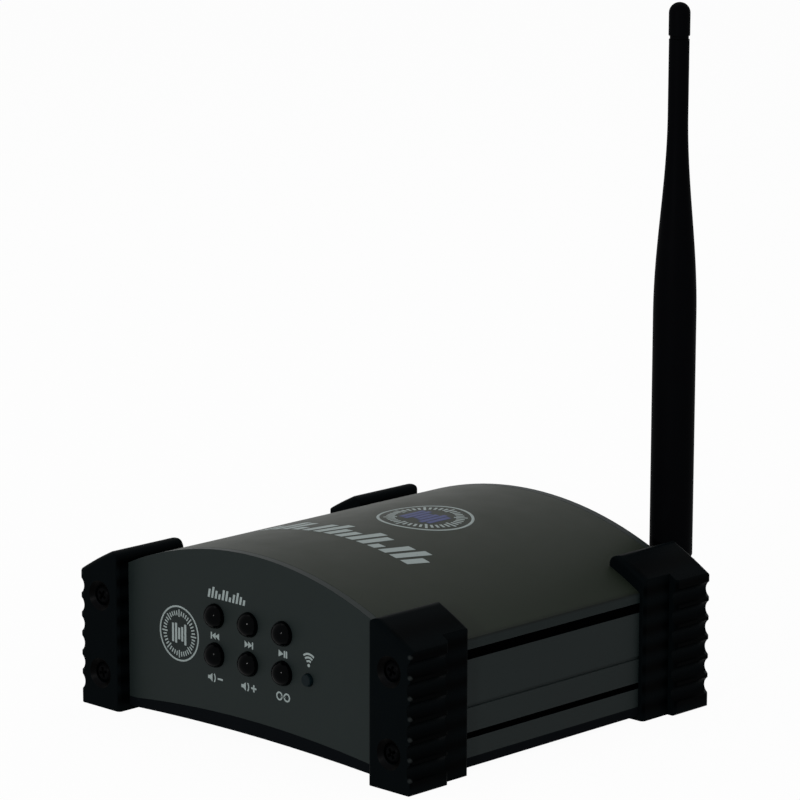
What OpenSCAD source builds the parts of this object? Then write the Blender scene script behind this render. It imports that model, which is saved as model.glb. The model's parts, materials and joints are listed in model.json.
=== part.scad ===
// Desk-top wireless audio receiver: arched aluminium box, four rubber corner
// bumpers, six push buttons and a folding whip antenna. Millimetres, +Z up,
// front towards -Y, origin on the table under the middle of the whole object.
// y values below are measured from the middle of the box; placed() shifts them.

/* [Box] */
// Width over the two side walls
body_w = 130.5; // [120:0.5:145]
// Depth over the two end panels
body_d = 122.6; // [110:0.2:150]
// Height of the cover's crown above the table
crown_z = 57.8; // [57.5:0.1:66]
// Outer radius of the arched cover
cover_r = 128; // [118:1:150]
// Thickness of the arched cover
cover_t = 2; // [1.5:0.1:2.6]
// Thickness of the cover's turned-down lips
lip_t = 1.6; // [1.2:0.1:2]
// Height of a lip, from the arch's underside at the lip down
lip_h = 1.78; // [1.08:0.1:2.28]
// Thickness of the front and rear panels
panel_t = 2.5; // [2:0.1:3]

/* [Base] */
// Gap between the flat margins of the base and the table
base_z = 1.5; // [1.3:0.1:2.2]
// Thickness of the base plate
base_t = 2.9; // [2:0.1:3.4]
// Rise of the base's arched middle
arch_rise = 2.95; // [1.5:0.05:4]
// Rise of the hollow under the base
under_rise = 1.35; // [0.8:0.05:2.5]
// Half width of the arched middle
arch_half = 50; // [40:1:52]

/* [Side rails] */
// Thickness of a rail's outer wall
rail_t = 3.5; // [3:0.1:4.5]
// Drop from the arch's underside at the lip to the rail's outer shoulder
shoulder_drop = 4.73; // [3.78:0.05:5.68]
// Drop from the arch's underside at the lip to the seat that carries the cover
seat_drop = 0.78; // [0.18:0.1:0.78]
// Depth of the rail from the outer face to its inner blocks
rail_depth = 7.35; // [7:0.05:9]
// Drop from the arch's underside at the lip to the screw channel's lower face
channel_drop = 6.48; // [6.08:0.1:8.18]
// Middle height of the wide groove
groove_z = 11.05; // [8.5:0.05:12.5]
// Width of the wide groove
groove_w = 1.9; // [1:0.1:2]
// Depth of the wide groove
groove_deep = 1.5; // [0.8:0.1:1.6]
// Middle height of the fine shadow line
line_z = 19.8; // [18:0.1:23]
// Width of the fine shadow line
line_w = 1; // [0.4:0.1:1.4]
// Depth of the fine shadow line
line_deep = 0.5; // [0.3:0.1:0.9]

/* [Bumpers] */
// How far the bumpers stand ahead of the end panels
wing_t = 4.4; // [4.4:0.1:6]
// Width of a bumper's wing on the end panel
wing_w = 17.1; // [16.8:0.1:20]
// Rubber over the side wall at the flange
flange_t = 2; // [1.8:0.1:3]
// How far the fluted block stands out from the flange
block_t = 2.95; // [2.4:0.05:4]
// Depth of the fluted block along the side
block_d = 15.8; // [13:0.1:18]
// Depth of the whole bumper along the side
bumper_d = 27.2; // [24:0.1:30]
// Rubber over the arched cover
cap_t = 4.7; // [4:0.1:5.4]
// Radius of a bumper's inner top edge
cap_round = 3; // [1.5:0.1:3.6]
// Radius of a bumper's front and back top edges
cap_edge_r = 1.8; // [0.8:0.1:2.4]
// Height of the lowest flute's middle
flute_z = 6.8; // [6.5:0.1:7.6]
// Distance from flute to flute
flute_pitch = 6.05; // [5.6:0.05:6.3]
// Depth of a flute
flute_deep = 1.7; // [0.8:0.1:1.9]
// Radius of a flute's round bottom
flute_r = 2.8; // [2.4:0.1:3.2]
// Radius of the upright corner
corner_r = 0.8; // [0.6:0.1:1.6]
// Radius of the other upright edges
edge_r = 1.2; // [0.6:0.1:1.6]
// Radius of the bottom outer edge
foot_r = 1; // [0.6:0.1:2]

/* [Bumper screws] */
// Distance of the screws from the side walls' outer faces
screw_in = 3.75; // [3.75:0.05:4.45]
// Height of the lower screws
screw_low_z = 10.8; // [10.6:0.1:12]
// Drop from the arch's underside at the lip to the upper screws
screw_drop = 3.38; // [3.18:0.1:3.68]
// Diameter of a screw's shank
screw_d = 2.6; // [2.2:0.1:2.8]
// Length of a bumper screw's shank
screw_len = 12; // [9:1:20]
// Diameter of a bumper screw's head
screw_head_d = 5.8; // [5:0.1:6]
// Height of a bumper screw's head
screw_head_h = 2; // [1.5:0.1:2.4]
// Diameter of the recess at the rubber's face
recess_d = 9.4; // [8.2:0.1:9.8]
// Diameter of the recess round the head
recess_bore_d = 6.4; // [6.2:0.1:7]
// Rubber left under a screw's head
recess_floor = 1.3; // [1:0.1:1.8]
// Depth of the recess's sloped mouth
recess_slope = 1.2; // [0.6:0.1:1.6]

/* [Buttons] */
// Diameter of a button
button_d = 7.4; // [6:0.1:8]
// Running clearance round buttons and plungers, on the radius
button_gap = 0.08; // [0.05:0.01:0.1]
// Column distance of the buttons
button_dx = 14.4; // [12:0.1:16]
// Middle column's distance from the box's middle plane
button_x = -0.4; // [-4:0.1:2]
// Height of the upper row
button_high_z = 36.6; // [35.5:0.1:37]
// Height of the lower row
button_low_z = 24.65; // [24:0.05:25.2]
// Straight part of a button ahead of the panel
button_out = 0.9; // [0.9:0.1:1.5]
// Rise of a button's dome
dome_rise = 2.6; // [1.6:0.1:3]
// Travel of a button
button_travel = 0.8; // [0.4:0.1:0.8]
// Diameter of a button's collar behind the panel
collar_d = 9.2; // [8.8:0.1:10]
// Thickness of the collar
collar_t = 1; // [0.6:0.1:1.4]
// Diameter of a button's stem
stem_d = 3.2; // [2.6:0.1:4]
// Distance from the front panel to the button board
board_gap = 9.1; // [9:0.1:12]
// Width and height of a tact switch
tact_w = 6; // [5.6:0.1:6.4]
// Depth of a tact switch's case
tact_d = 3.5; // [3.3:0.1:4]
// Diameter of a switch's plunger
plunger_d = 3.4; // [2.6:0.1:3.6]
// Length of the plunger outside its switch
plunger_out = 1.6; // [1.2:0.1:2]
// Length of the plunger inside its switch
plunger_in = 1.2; // [0.8:0.1:1.5]
// Diameter of the status lamp
led_d = 3.9; // [3:0.1:4.2]
// Distance of the status lamp from the middle plane
led_x = 24.5; // [21.5:0.1:24.6]

/* [Boards] */
// Thickness of the circuit boards
board_t = 1.6; // [1.2:0.1:2]
// Underside of the main board
board_z = 15.8; // [15.5:0.1:16]
// Clearance above a board in its rail slots
slot_gap = 0.1; // [0.05:0.05:0.15]
// Width of the slot's upper rib and depth of the slot's ledge in the rail
ledge_w = 2.9; // [2.4:0.1:3.4]
// Thickness of the rib over the board
rib_t = 1.5; // [1:0.1:2]
// Front edge of the main board
board_front_y = -46; // [-47:0.5:-45]
// Space between the main board's rear edge and the rear panel
board_rear = 5.4; // [5:0.1:6]
// Space between the first column's collars and the posts beside them
post_gap = 1.1; // [0.6:0.1:2]
// Space between the status lamp's collar and the posts beside it
lamp_post_gap = 0.15; // [0.1:0.05:0.6]
// Height of the button board
key_board_h = 24.6; // [24:0.1:25.4]
// Diameter of a post that carries the button board
post_d = 4.6; // [4.2:0.1:4.8]

/* [Board parts] */
// Distance of the line transformers from the rear panel
coil_back = 50.8; // [46:0.1:52]
// Width of a line transformer
coil_w = 15; // [13:0.5:16]
// Depth of a line transformer's bobbin
coil_d = 13; // [11:0.5:14]
// Height of a line transformer's core
coil_h = 13; // [11:0.5:14]
// Diameter of a winding
winding_d = 11.6; // [9:0.1:12]
// Distance of the audio chips ahead of the transformers
chip_ahead = 14; // [13:0.5:16]
// Distance from chip to chip
chip_pitch = 23; // [21:0.5:24]
// Length of a chip
chip_len = 10; // [9:0.1:11]
// Width of a chip
chip_w = 4; // [3.6:0.1:4.6]
// Height of a chip's case
chip_h = 1.5; // [1.2:0.1:1.8]
// Distance of the small capacitors ahead of the chips
small_cap_ahead = 16; // [14:0.5:18]
// Distance of the first small capacitor from the left wall
small_cap_in = 19.25; // [17:0.25:21]
// Distance from small capacitor to small capacitor
small_cap_pitch = 11; // [9:0.5:12]
// Diameter of a small capacitor
small_cap_d = 6.3; // [5:0.1:8]
// Height of a small capacitor
small_cap_h = 11; // [7:0.5:12]
// Distance of the rearmost large capacitor from the rear panel
big_cap_back = 22.8; // [22:0.1:25]
// Distance from large capacitor to large capacitor
big_cap_pitch = 11; // [9.5:0.5:12]
// Diameter of a large capacitor
big_cap_d = 8; // [6.3:0.1:8.5]
// Height of a large capacitor
big_cap_h = 12; // [9:0.5:14]
// Distance of the regulator ahead of the sockets' contact legs
regulator_ahead = 14; // [12:0.5:16]
// Width of the regulator's heat sink
sink_w = 8; // [7.4:0.1:8.4]
// Height of the regulator's heat sink
sink_h = 17; // [12:0.5:20]
// Depth of the heat sink's fins
fin_d = 7; // [5:0.5:8]
// Distance of the antenna lead's landing from the rear panel
lead_run = 24.8; // [23:0.1:28]
// Width of the radio board
radio_w = 18; // [16:0.5:19]
// Depth of the radio board
radio_d = 30; // [28:0.5:34]
// Width of the radio board's shield
shield_w = 14; // [12:0.5:15]
// Depth of the radio board's shield
shield_d = 16; // [14:0.5:17]
// Height of the radio board's shield
shield_h = 2.6; // [2:0.1:3.4]
// Width of a link header
header_w = 16; // [14:0.5:20]
// Width of the link ribbon
ribbon_w = 14; // [10:0.5:14]

/* [Rear sockets] */
// Height of the output sockets
xlr_z = 30.3; // [30:0.1:31]
// Distance of the left output socket from the left wall's outer face
xlr_left_in = 32.25; // [29.25:0.25:34.25]
// Distance between the output sockets
xlr_dx = 30; // [29:0.5:32]
// Outer diameter of a socket's barrel
xlr_barrel_d = 23.4; // [23:0.1:24]
// Bore of a socket's barrel
xlr_bore_d = 18.9; // [18.5:0.1:19.2]
// Length of the barrel behind the panel's outer face
xlr_len = 21.3; // [20:0.1:23]
// Flange width
xlr_flange_w = 26; // [26:0.5:28]
// Flange height
xlr_flange_h = 31; // [30:0.5:32]
// Flange thickness
xlr_flange_t = 1.6; // [1.2:0.1:2]
// Diameter of a contact pin
pin_d = 2.4; // [2:0.1:2.4]
// Radius of the circle that the contact pins stand on
pin_ring = 5.3; // [5.2:0.1:5.8]
// Thickness of the socket's insert
insert_t = 6; // [5:0.1:7]
// How far the pins stay behind the flange's face
pin_recess = 4; // [3:0.1:5]
// Distance of the power inlet from the right wall's outer face
inlet_in = 38.25; // [36.25:0.25:39.25]
// Bore of the power inlet
inlet_bore_d = 6.3; // [6:0.1:6.5]
// Distance of the power switch from the right wall's outer face
switch_in = 23.25; // [21.25:0.25:24.25]
// Travel of the power switch's knob
switch_travel = 3; // [2:0.1:3]

/* [Antenna] */
// Distance of the antenna from the right wall's outer face
antenna_in = 22.25; // [20.25:0.25:25.25]
// Height of the antenna socket and hinge
antenna_z = 34; // [32:0.1:35]
// Distance of the hinge behind the rear panel
hinge_out = 17.7; // [17:0.1:24]
// Height of the whip's tip above the hinge
whip_len = 179.1; // [150:0.1:230]
// Diameter of the whip's lower part
whip_d = 13.4; // [11:0.1:13.6]
// Diameter of the whip's slim part
whip_top_d = 6.3; // [5:0.1:7]
// Diameter of the tip cap
cap_d = 6.6; // [5:0.1:7]
// Height of the tip cap
cap_h = 11.2; // [8:0.1:14]
// Start of the taper above the hinge
taper_from = 83; // [60:1:90]
// End of the taper above the hinge
taper_to = 145; // [120:1:146]
// Diameter of the knuckle round the hinge
knuckle_d = 9.8; // [9:0.1:10]
// Thickness of the swivel's tongue
tongue_t = 4.6; // [4:0.1:5]
// Thickness of one of the whip's ears
ear_t = 3.1; // [2.6:0.1:3.4]
// Diameter of the hinge pin
hinge_pin_d = 2.4; // [2:0.1:3]
// Running clearance of the hinge and the swivel, on the radius
hinge_gap = 0.05; // [0.03:0.01:0.1]
// Clearance between faces that turn past each other
side_gap = 0.3; // [0.2:0.05:0.4]
// Diameter of the socket's thread
thread_d = 6.2; // [5.8:0.1:6.4]
// Length of the thread behind the panel
thread_out = 8; // [7:0.1:8.5]
// Length of the antenna's screwed sleeve
sleeve_len = 7.4; // [7:0.1:7.6]
// Diameter of the inner radiator
core_d = 3; // [2:0.1:3.4]
// Diameter of the antenna lead
lead_d = 1.5; // [1:0.1:1.8]

/* [Hidden] */
$fn = 96;
fit = 0.05;                                  // clearance of round pieces that don't move
cut = 1;                                     // how far cutters run past a face
half_w = body_w / 2;
half_d = body_d / 2;
cover_cz = crown_z - cover_r;                // centre of the arch
edge_z = cover_cz + sqrt(pow(cover_r - cover_t, 2) - pow(half_w - lip_t, 2));   // arch's underside at a lip
lip_z = edge_z - lip_h;
shoulder_z = edge_z - shoulder_drop;
seat_z = edge_z - seat_drop;
channel_z = edge_z - channel_drop;
screw_high_z = edge_z - screw_drop;
front_in = -half_d + panel_t;                // inner face of the front panel
rear_in = half_d - panel_t;
base_top = base_z + base_t;
arch_r = (arch_half * arch_half + arch_rise * arch_rise) / (2 * arch_rise);
under_r = (arch_half * arch_half + under_rise * under_rise) / (2 * under_rise);
arch_out = arch_half + 4;                              // where both arches have run into the flat margins
rail_in = half_w - rail_t;
block_in = half_w - rail_depth;
bumper_x = half_w + flange_t + block_t;      // outer face of a fluted block
bumper_y = half_d + wing_t;
wing_in = bumper_x - wing_w;
cap_edge_z = cover_cz + sqrt(pow(cover_r + cap_t, 2) - bumper_x * bumper_x);
flutes = floor((cap_edge_z - 2.2 - flute_z) / flute_pitch) + 1;
screw_x = half_w - screw_in;
xlr_left_x = xlr_left_in - half_w;
xlr_right_x = xlr_left_x + xlr_dx;
inlet_x = half_w - inlet_in;
switch_x = half_w - switch_in;
antenna_x = half_w - antenna_in;
screw_hole_d = screw_d + 2 * fit;
key_rows = [button_high_z, button_low_z];
key_cols = [button_x - button_dx, button_x, button_x + button_dx];
key_board_y = front_in + board_gap;          // front face of the button board
led_collar_d = led_d + 1.2;
post_left = key_cols[0] - collar_d / 2 - post_gap - post_d / 2;
post_right = led_x + led_collar_d / 2 + lamp_post_gap + post_d / 2;
post_dx = (post_right - post_left) / 2;
key_board_w = 2 * post_dx + post_d + 1.2;
key_board_x = (post_left + post_right) / 2;
key_board_z = (button_high_z + button_low_z) / 2;
post_dz = key_board_h / 2 - post_d / 2 - 1;
coil_y = rear_in - coil_back;
chip_y = coil_y - chip_ahead;
switch_face = key_board_y - tact_d;          // front face of the tact switches
plunger_tip = switch_face - plunger_out;
collar_y = front_in + 0.1;
board_top = board_z + board_t;
antenna_y = half_d + hinge_out;
whip_base = knuckle_d / 2 + 0.6;             // whip's full section starts here, above the hinge
nut_w = 8;                                   // antenna nut, across flats
nut_t = 2;
washer_t = 0.5;
sleeve_y = half_d + washer_t + nut_t + 0.3;
neck_y = sleeve_y + sleeve_len + side_gap;
neck_t = antenna_y - knuckle_d / 2 - side_gap - neck_y;
box_y = (bumper_y - (antenna_y + whip_d / 2)) / 2;   // puts the origin under the middle
radio_y = rear_in - lead_run;                // lead's landing on the radio board
lead_bend = 10;
lead_r = lead_d / 2;
tail_y = rear_in - 8.8;

// Shifts a piece from the box's own middle to the whole object's.
module placed() { translate([0, box_y, 0]) children(); }

// Stands a flat XZ drawing up and gives it depth from y0 to y1.
module along_y(y0, y1) {
    translate([0, y1, 0]) rotate([90, 0, 0]) linear_extrude(y1 - y0) children();
}

// A rod along Y from y0 to y1.
module rod_y(d, y0, y1) { translate([0, y0, 0]) rotate([-90, 0, 0]) cylinder(d = d, h = y1 - y0); }

// Everything under the arch of radius r, w wide, down to height low.
module under_arch(r, w, low) {
    intersection() {
        translate([0, cover_cz]) circle(r = r, $fn = 360);
        translate([-w / 2, low]) square([w, crown_z + cap_t + cut - low]);
    }
}

// Outline of the base plate, its underside at height z.
module base_outline(z, t) {
    difference() {
        union() {
            translate([-half_w, z]) square([body_w, t]);
            intersection() {
                translate([0, z + t + arch_rise - arch_r]) circle(r = arch_r, $fn = 720);
                translate([-arch_out, z]) square([2 * arch_out, t + arch_rise + cut]);
            }
        }
        intersection() {
            translate([0, z + under_rise - under_r]) circle(r = under_r, $fn = 720);
            translate([-arch_out, z - cut]) square([2 * arch_out, under_rise + 2 * cut]);
        }
    }
}

// Outline of an end panel: under the arch and over the base's top face.
module panel_outline() {
    difference() {
        under_arch(cover_r, body_w, base_top);
        translate([0, base_top + arch_rise - arch_r]) circle(r = arch_r, $fn = 720);
    }
}

// The four places of an end panel's bumper screws.
module at_screws() {
    for (side = [-1, 1], z = [screw_low_z, screw_high_z]) translate([side * screw_x, 0, z]) children();
}

module base_plate() {
    color("#141414") placed() difference() {
        along_y(-half_d, half_d) base_outline(base_z, base_t);
        for (sx = [-1, 1], sy = [-1, 1])
            translate([sx * (block_in + rail_in) / 2, sy * half_d / 2, base_z - cut])
                cylinder(d = screw_hole_d, h = base_t + 2 * cut);
    }
}

// Cross-section of the right-hand rail.
module rail_outline() {
    difference() {
        union() {
            translate([rail_in, base_top]) square([rail_t, shoulder_z - base_top]);
            translate([block_in, channel_z]) square([rail_depth - lip_t - fit, seat_z - channel_z]);
            translate([block_in, base_top]) square([rail_depth - 1, board_z - base_top]);
            translate([rail_in - ledge_w, board_top + slot_gap]) square([ledge_w + 1, rib_t]);
        }
        translate([half_w - groove_deep, groove_z - groove_w / 2]) square([groove_deep + cut, groove_w]);
        translate([half_w - line_deep, line_z - line_w / 2]) square([line_deep + cut, line_w]);
        for (z = [screw_low_z, screw_high_z]) translate([screw_x, z]) circle(d = screw_hole_d);
    }
}

module side_rail(side) {
    color("#3c4045") placed() difference() {
        along_y(front_in, rear_in) mirror([side < 0 ? 1 : 0, 0]) rail_outline();
        for (sy = [-1, 1])
            translate([side * (block_in + rail_in) / 2, sy * half_d / 2, base_top - cut])
                cylinder(d = screw_hole_d, h = 7);
    }
}

module side_rail_left() { side_rail(-1); }

module side_rail_right() { side_rail(1); }

module top_cover() {
    color("#4a4b47") placed() along_y(front_in, rear_in) {
        difference() {
            under_arch(cover_r, body_w, lip_z);
            under_arch(cover_r - cover_t, body_w - 2 * lip_t, lip_z - cut);
        }
        for (side = [-1, 1]) intersection() {
            under_arch(cover_r - cover_t / 2, body_w - lip_t, seat_z);
            translate([side * (half_w - lip_t / 2 - 2.5) - 2.5, seat_z]) square([5, 10]);
        }
    }
}

module front_panel() {
    color("#34383d") placed() difference() {
        along_y(-half_d, front_in) panel_outline();
        translate([0, -half_d - cut, 0]) {
            for (x = key_cols, z = key_rows)
                translate([x, 0, z]) rod_y(button_d + 2 * button_gap, 0, panel_t + 2 * cut);
            translate([led_x, 0, button_low_z]) rod_y(led_d + 2 * fit, 0, panel_t + 2 * cut);
            at_screws() rod_y(screw_hole_d, 0, panel_t + 2 * cut);
        }
    }
}

module rear_panel() {
    color("#34383d") placed() difference() {
        along_y(rear_in, half_d) panel_outline();
        translate([0, rear_in - cut, 0]) {
            for (x = [xlr_left_x, xlr_right_x]) translate([x, 0, xlr_z]) {
                rod_y(xlr_barrel_d + 2 * fit, 0, panel_t + 2 * cut);
                at_flange_holes() rod_y(flange_screw_d + 2 * fit, 0, panel_t + 2 * cut);
            }
            translate([inlet_x, 0, inlet_z]) rod_y(nose_d + 2 * fit, 0, panel_t + 2 * cut);
            translate([switch_x - slot_w / 2, 0, switch_z - slot_h / 2])
                cube([slot_w, panel_t + 2 * cut, slot_h]);
            translate([antenna_x, 0, antenna_z]) rod_y(thread_d + 2 * fit, 0, panel_t + 2 * cut);
            at_screws() rod_y(screw_hole_d, 0, panel_t + 2 * cut);
        }
    }
}

// Plan of the front right bumper, with its upright edges rounded.
module bumper_plan() {
    flange_x = half_w + flange_t;
    back = -bumper_y + bumper_d;
    block_back = -bumper_y + block_d;
    translate([wing_in + edge_r, -bumper_y]) square([wing_w - edge_r - corner_r, block_d]);
    translate([wing_in, -bumper_y + edge_r]) square([wing_w - edge_r, block_d - edge_r]);
    translate([wing_in, -bumper_y + corner_r]) square([wing_w, block_d - corner_r - edge_r]);
    translate([wing_in, -bumper_y + corner_r]) square([flange_x - wing_in - edge_r, bumper_d - corner_r]);
    translate([wing_in, -bumper_y + corner_r]) square([flange_x - wing_in, bumper_d - corner_r - edge_r]);
    translate([wing_in + edge_r, -bumper_y + edge_r]) circle(r = edge_r);
    translate([bumper_x - corner_r, -bumper_y + corner_r]) circle(r = corner_r);
    translate([bumper_x - edge_r, block_back - edge_r]) circle(r = edge_r);
    translate([flange_x - edge_r, back - edge_r]) circle(r = edge_r);
}

// Cross-section of a right-hand bumper: flutes outside, a rounded top edge inside.
module bumper_outline() {
    round_x = wing_in + cap_round;
    round_z = cover_cz + sqrt(pow(cover_r + cap_t - cap_round, 2) - round_x * round_x);
    lean = atan2(round_x, round_z - cover_cz);
    difference() {
        under_arch(cover_r + cap_t, 2 * bumper_x, 0);
        translate([bumper_x - foot_r, -cut]) square([foot_r + cut, foot_r + cut]);
        for (i = [0 : flutes - 1])
            translate([bumper_x - flute_deep + flute_r, flute_z + i * flute_pitch])
                circle(r = flute_r);
        translate([round_x, round_z])
            polygon([[0, 0], [20 * sin(lean), 20 * cos(lean)], [-20, 20], [-20, 0]]);
    }
    translate([round_x, round_z]) circle(r = cap_round);
    translate([bumper_x - foot_r, foot_r]) circle(r = foot_r);
}

// Drum about the arch's own axis, R in radius: it rounds a bumper's front and back top edges.
module bumper_drum(R) {
    translate([0, -bumper_y, cover_cz]) rotate([-90, 0, 0]) rotate_extrude($fn = 360) {
        square([R - cap_edge_r, bumper_d]);
        translate([0, cap_edge_r]) square([R, bumper_d - 2 * cap_edge_r]);
        for (y = [cap_edge_r, bumper_d - cap_edge_r])
            translate([R - cap_edge_r, y]) circle(r = cap_edge_r, $fn = 32);
    }
}

// Front right bumper; the others are its mirror images.
module bumper() {
    difference() {
        intersection() {
            along_y(-bumper_y, -bumper_y + bumper_d) bumper_outline();
            linear_extrude(crown_z + cap_t) bumper_plan();
            bumper_drum(cover_r + cap_t);
        }
        along_y(-half_d, half_d) under_arch(cover_r, body_w, base_z);
        for (z = [screw_low_z, screw_high_z]) translate([screw_x, -bumper_y, z]) {
            rod_y(screw_hole_d, 0, wing_t + cut);
            rod_y(recess_bore_d, -cut, wing_t - recess_floor);
            translate([0, -0.01, 0]) rotate([-90, 0, 0])
                cylinder(d1 = recess_d, d2 = recess_bore_d, h = recess_slope);
        }
    }
}

module bumper_front_left() { color("#15171a") placed() mirror([1, 0, 0]) bumper(); }

module bumper_front_right() { color("#15171a") placed() bumper(); }

module bumper_rear_left() { color("#15171a") placed() mirror([0, 1, 0]) mirror([1, 0, 0]) bumper(); }

module bumper_rear_right() { color("#15171a") placed() mirror([0, 1, 0]) bumper(); }

// A cross-headed screw along +Y, the underside of its head at y = 0.
module cross_screw(d, len, head_d, head_h) {
    cross_w = head_d * 0.16;
    cross_l = head_d * 0.58;
    difference() {
        union() {
            rod_y(d, 0, len);
            rod_y(head_d, -head_h * 0.55, 0);
            translate([0, -head_h, 0]) rotate([-90, 0, 0])
                cylinder(d1 = head_d * 0.72, d2 = head_d, h = head_h * 0.45);
        }
        for (a = [0, 90]) rotate([0, a, 0])
            translate([-cross_l / 2, -head_h - cut, -cross_w / 2]) cube([cross_l, cut + head_h * 0.6, cross_w]);
    }
}

module bumper_screws() {
    color("#1a1a1a") placed() for (end = [0, 1]) mirror([0, end, 0])
        at_screws() translate([0, -half_d - recess_floor, 0])
            cross_screw(screw_d, screw_len, screw_head_d, screw_head_h);
}

module base_screws() {
    color("#8a8d90") placed() for (sx = [-1, 1], sy = [-1, 1])
        translate([sx * (block_in + rail_in) / 2, sy * half_d / 2, base_z]) rotate([90, 0, 0])
            cross_screw(screw_d, base_t + 5, screw_head_d * 0.9, base_z - 0.6);
}

// ---- circuit boards and what stands on them ----

module main_board() {
    color("#1f5f38") placed() translate([-rail_in + 0.15, board_front_y, board_z])
        cube([2 * rail_in - 0.3, rear_in - board_rear - board_front_y, board_t]);
}

// A block on the main board: its middle, width, depth and height.
module on_board(x, y, w, d, h) { translate([x - w / 2, y - d / 2, board_top]) cube([w, d, h]); }

module line_transformers() {
    color("#6b5a2e") placed() for (x = [xlr_left_x - 4, xlr_right_x - 8]) {
        on_board(x, coil_y, coil_w, coil_d, 3);
        on_board(x, coil_y, coil_w - 3, 6, coil_h);
        translate([x, coil_y, board_top + 3]) cylinder(d = winding_d, h = coil_h - 6);
        for (side = [-1, 1]) on_board(x + side * (coil_w / 2 - 1), coil_y, 2, 6, coil_h);
        translate([x - coil_w / 2, coil_y - 3, board_top + coil_h - 1]) cube([coil_w, 6, 2.4]);
    }
}

module capacitors() {
    color("#23272e") placed() {
        for (i = [0 : 3])
            translate([small_cap_in - half_w + i * small_cap_pitch, chip_y - small_cap_ahead, board_top])
                cylinder(d = small_cap_d, h = small_cap_h);
        for (i = [0 : 1])
            translate([inlet_x - 4, rear_in - big_cap_back - i * big_cap_pitch, board_top])
                cylinder(d = big_cap_d, h = big_cap_h);
    }
}

module audio_chips() {
    leg_pitch = 1.27;
    color("#17181a") placed() for (i = [0 : 2]) translate([xlr_left_x - 7 + i * chip_pitch, chip_y, board_top]) {
        translate([-chip_len / 2, -chip_w / 2, 0.3]) cube([chip_len, chip_w, chip_h]);
        for (leg = [-3 : 3])
            translate([leg * leg_pitch - 0.2, -chip_w / 2 - 1.1, 0]) cube([0.4, chip_w + 2.2, 0.6]);
    }
}

module regulator() {
    color("#a4a7aa") placed() {
        translate([xlr_right_x + 3, insert_back - leg_drop - regulator_ahead, board_top]) {
            cube([sink_w, 2, sink_h]);
            for (i = [0 : 3]) translate([i * (sink_w - 1.2) / 3, 1, 0]) cube([1.2, fin_d + 1, sink_h]);
            translate([0, -1, 0]) cube([sink_w, 2, 9]);
        }
    }
}

module radio_board() {
    color("#223f7a") placed() {
        on_board(antenna_x - 4, radio_y + 3 - radio_d / 2, radio_w, radio_d, 1);
        translate([antenna_x, radio_y, board_top + 1]) cylinder(d = 3, h = 1.2);
    }
}

module radio_shield() {
    color("#c2c4c6") placed()
        translate([antenna_x - 4 - shield_w / 2, radio_y - 8 - shield_d, board_top + 1])
            cube([shield_w, shield_d, shield_h]);
}

// The four places of the button board's posts.
module at_posts() {
    for (sx = [-1, 1], sz = [-1, 1])
        translate([key_board_x + sx * post_dx, 0, key_board_z + sz * post_dz]) children();
}

module button_board() {
    color("#1f5f38") placed() difference() {
        translate([key_board_x - key_board_w / 2, key_board_y, key_board_z - key_board_h / 2])
            cube([key_board_w, board_t, key_board_h]);
        at_posts() rod_y(2.2, key_board_y - cut, key_board_y + board_t + cut);
    }
}

module board_posts() {
    color("#b9a25c") placed() at_posts() difference() {
        rod_y(post_d, front_in, key_board_y);
        rod_y(2.1, key_board_y - 6, key_board_y + cut);
    }
}

module board_screws() {
    color("#9a9da0") placed() at_posts() translate([0, key_board_y + board_t, 0]) mirror([0, 1, 0])
        cross_screw(2, board_t + 5, 4, 1.4);
}

module tact_switches() {
    color("#1c1c1e") placed() for (x = key_cols, z = key_rows) difference() {
        translate([x - tact_w / 2, switch_face, z - tact_w / 2]) cube([tact_w, tact_d, tact_w]);
        translate([x, 0, z])
            rod_y(plunger_d + 2 * button_gap, switch_face - cut, switch_face + plunger_in + button_travel + 0.2);
    }
}

module link_headers() {
    color("#e6e1d3") placed() {
        translate([key_board_x - header_w / 2, 0, 0]) {
            translate([0, key_board_y + board_t, key_board_z - 5]) cube([header_w, 3.4, 4]);
            translate([0, link_down_y - 2.5, board_top]) cube([header_w, 5, 4]);
        }
    }
}

link_z = key_board_z - 3;                    // height at which the ribbon leaves the button board
link_out_y = key_board_y + board_t + 3.4;
link_bend = 5;
link_down_y = link_out_y + 2 + link_bend;
link_t = 0.6;

// The ribbon's edge, seen along X: straight out, a quarter turn, straight down.
module link_outline() {
    translate([link_out_y, link_z - link_t / 2]) square([2, link_t]);
    translate([link_out_y + 2, link_z - link_bend]) intersection() {
        difference() {
            circle(r = link_bend + link_t / 2);
            circle(r = link_bend - link_t / 2);
        }
        square(link_bend + cut);
    }
    translate([link_down_y - link_t / 2, board_top + 4])
        square([link_t, link_z - link_bend - board_top - 4]);
}

module link_cable() {
    color("#8d9096") placed() translate([key_board_x - ribbon_w / 2, 0, 0])
        rotate([90, 0, 90]) linear_extrude(ribbon_w) link_outline();
}

module status_lamp() {
    color("#143a3c") placed() translate([led_x, 0, button_low_z]) {
        rod_y(led_d, -half_d - 0.2, front_in + 4);
        translate([0, -half_d - 0.2, 0]) intersection() {
            sphere(d = led_d);
            rotate([90, 0, 0]) cylinder(d = led_d + cut, h = led_d * 0.28);
        }
        rod_y(led_collar_d, front_in + 0.2, front_in + 1.2);
        for (side = [-1, 1]) translate([side * 1.2, 0, 0]) rod_y(0.6, front_in + 4, key_board_y);
    }
}

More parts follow.
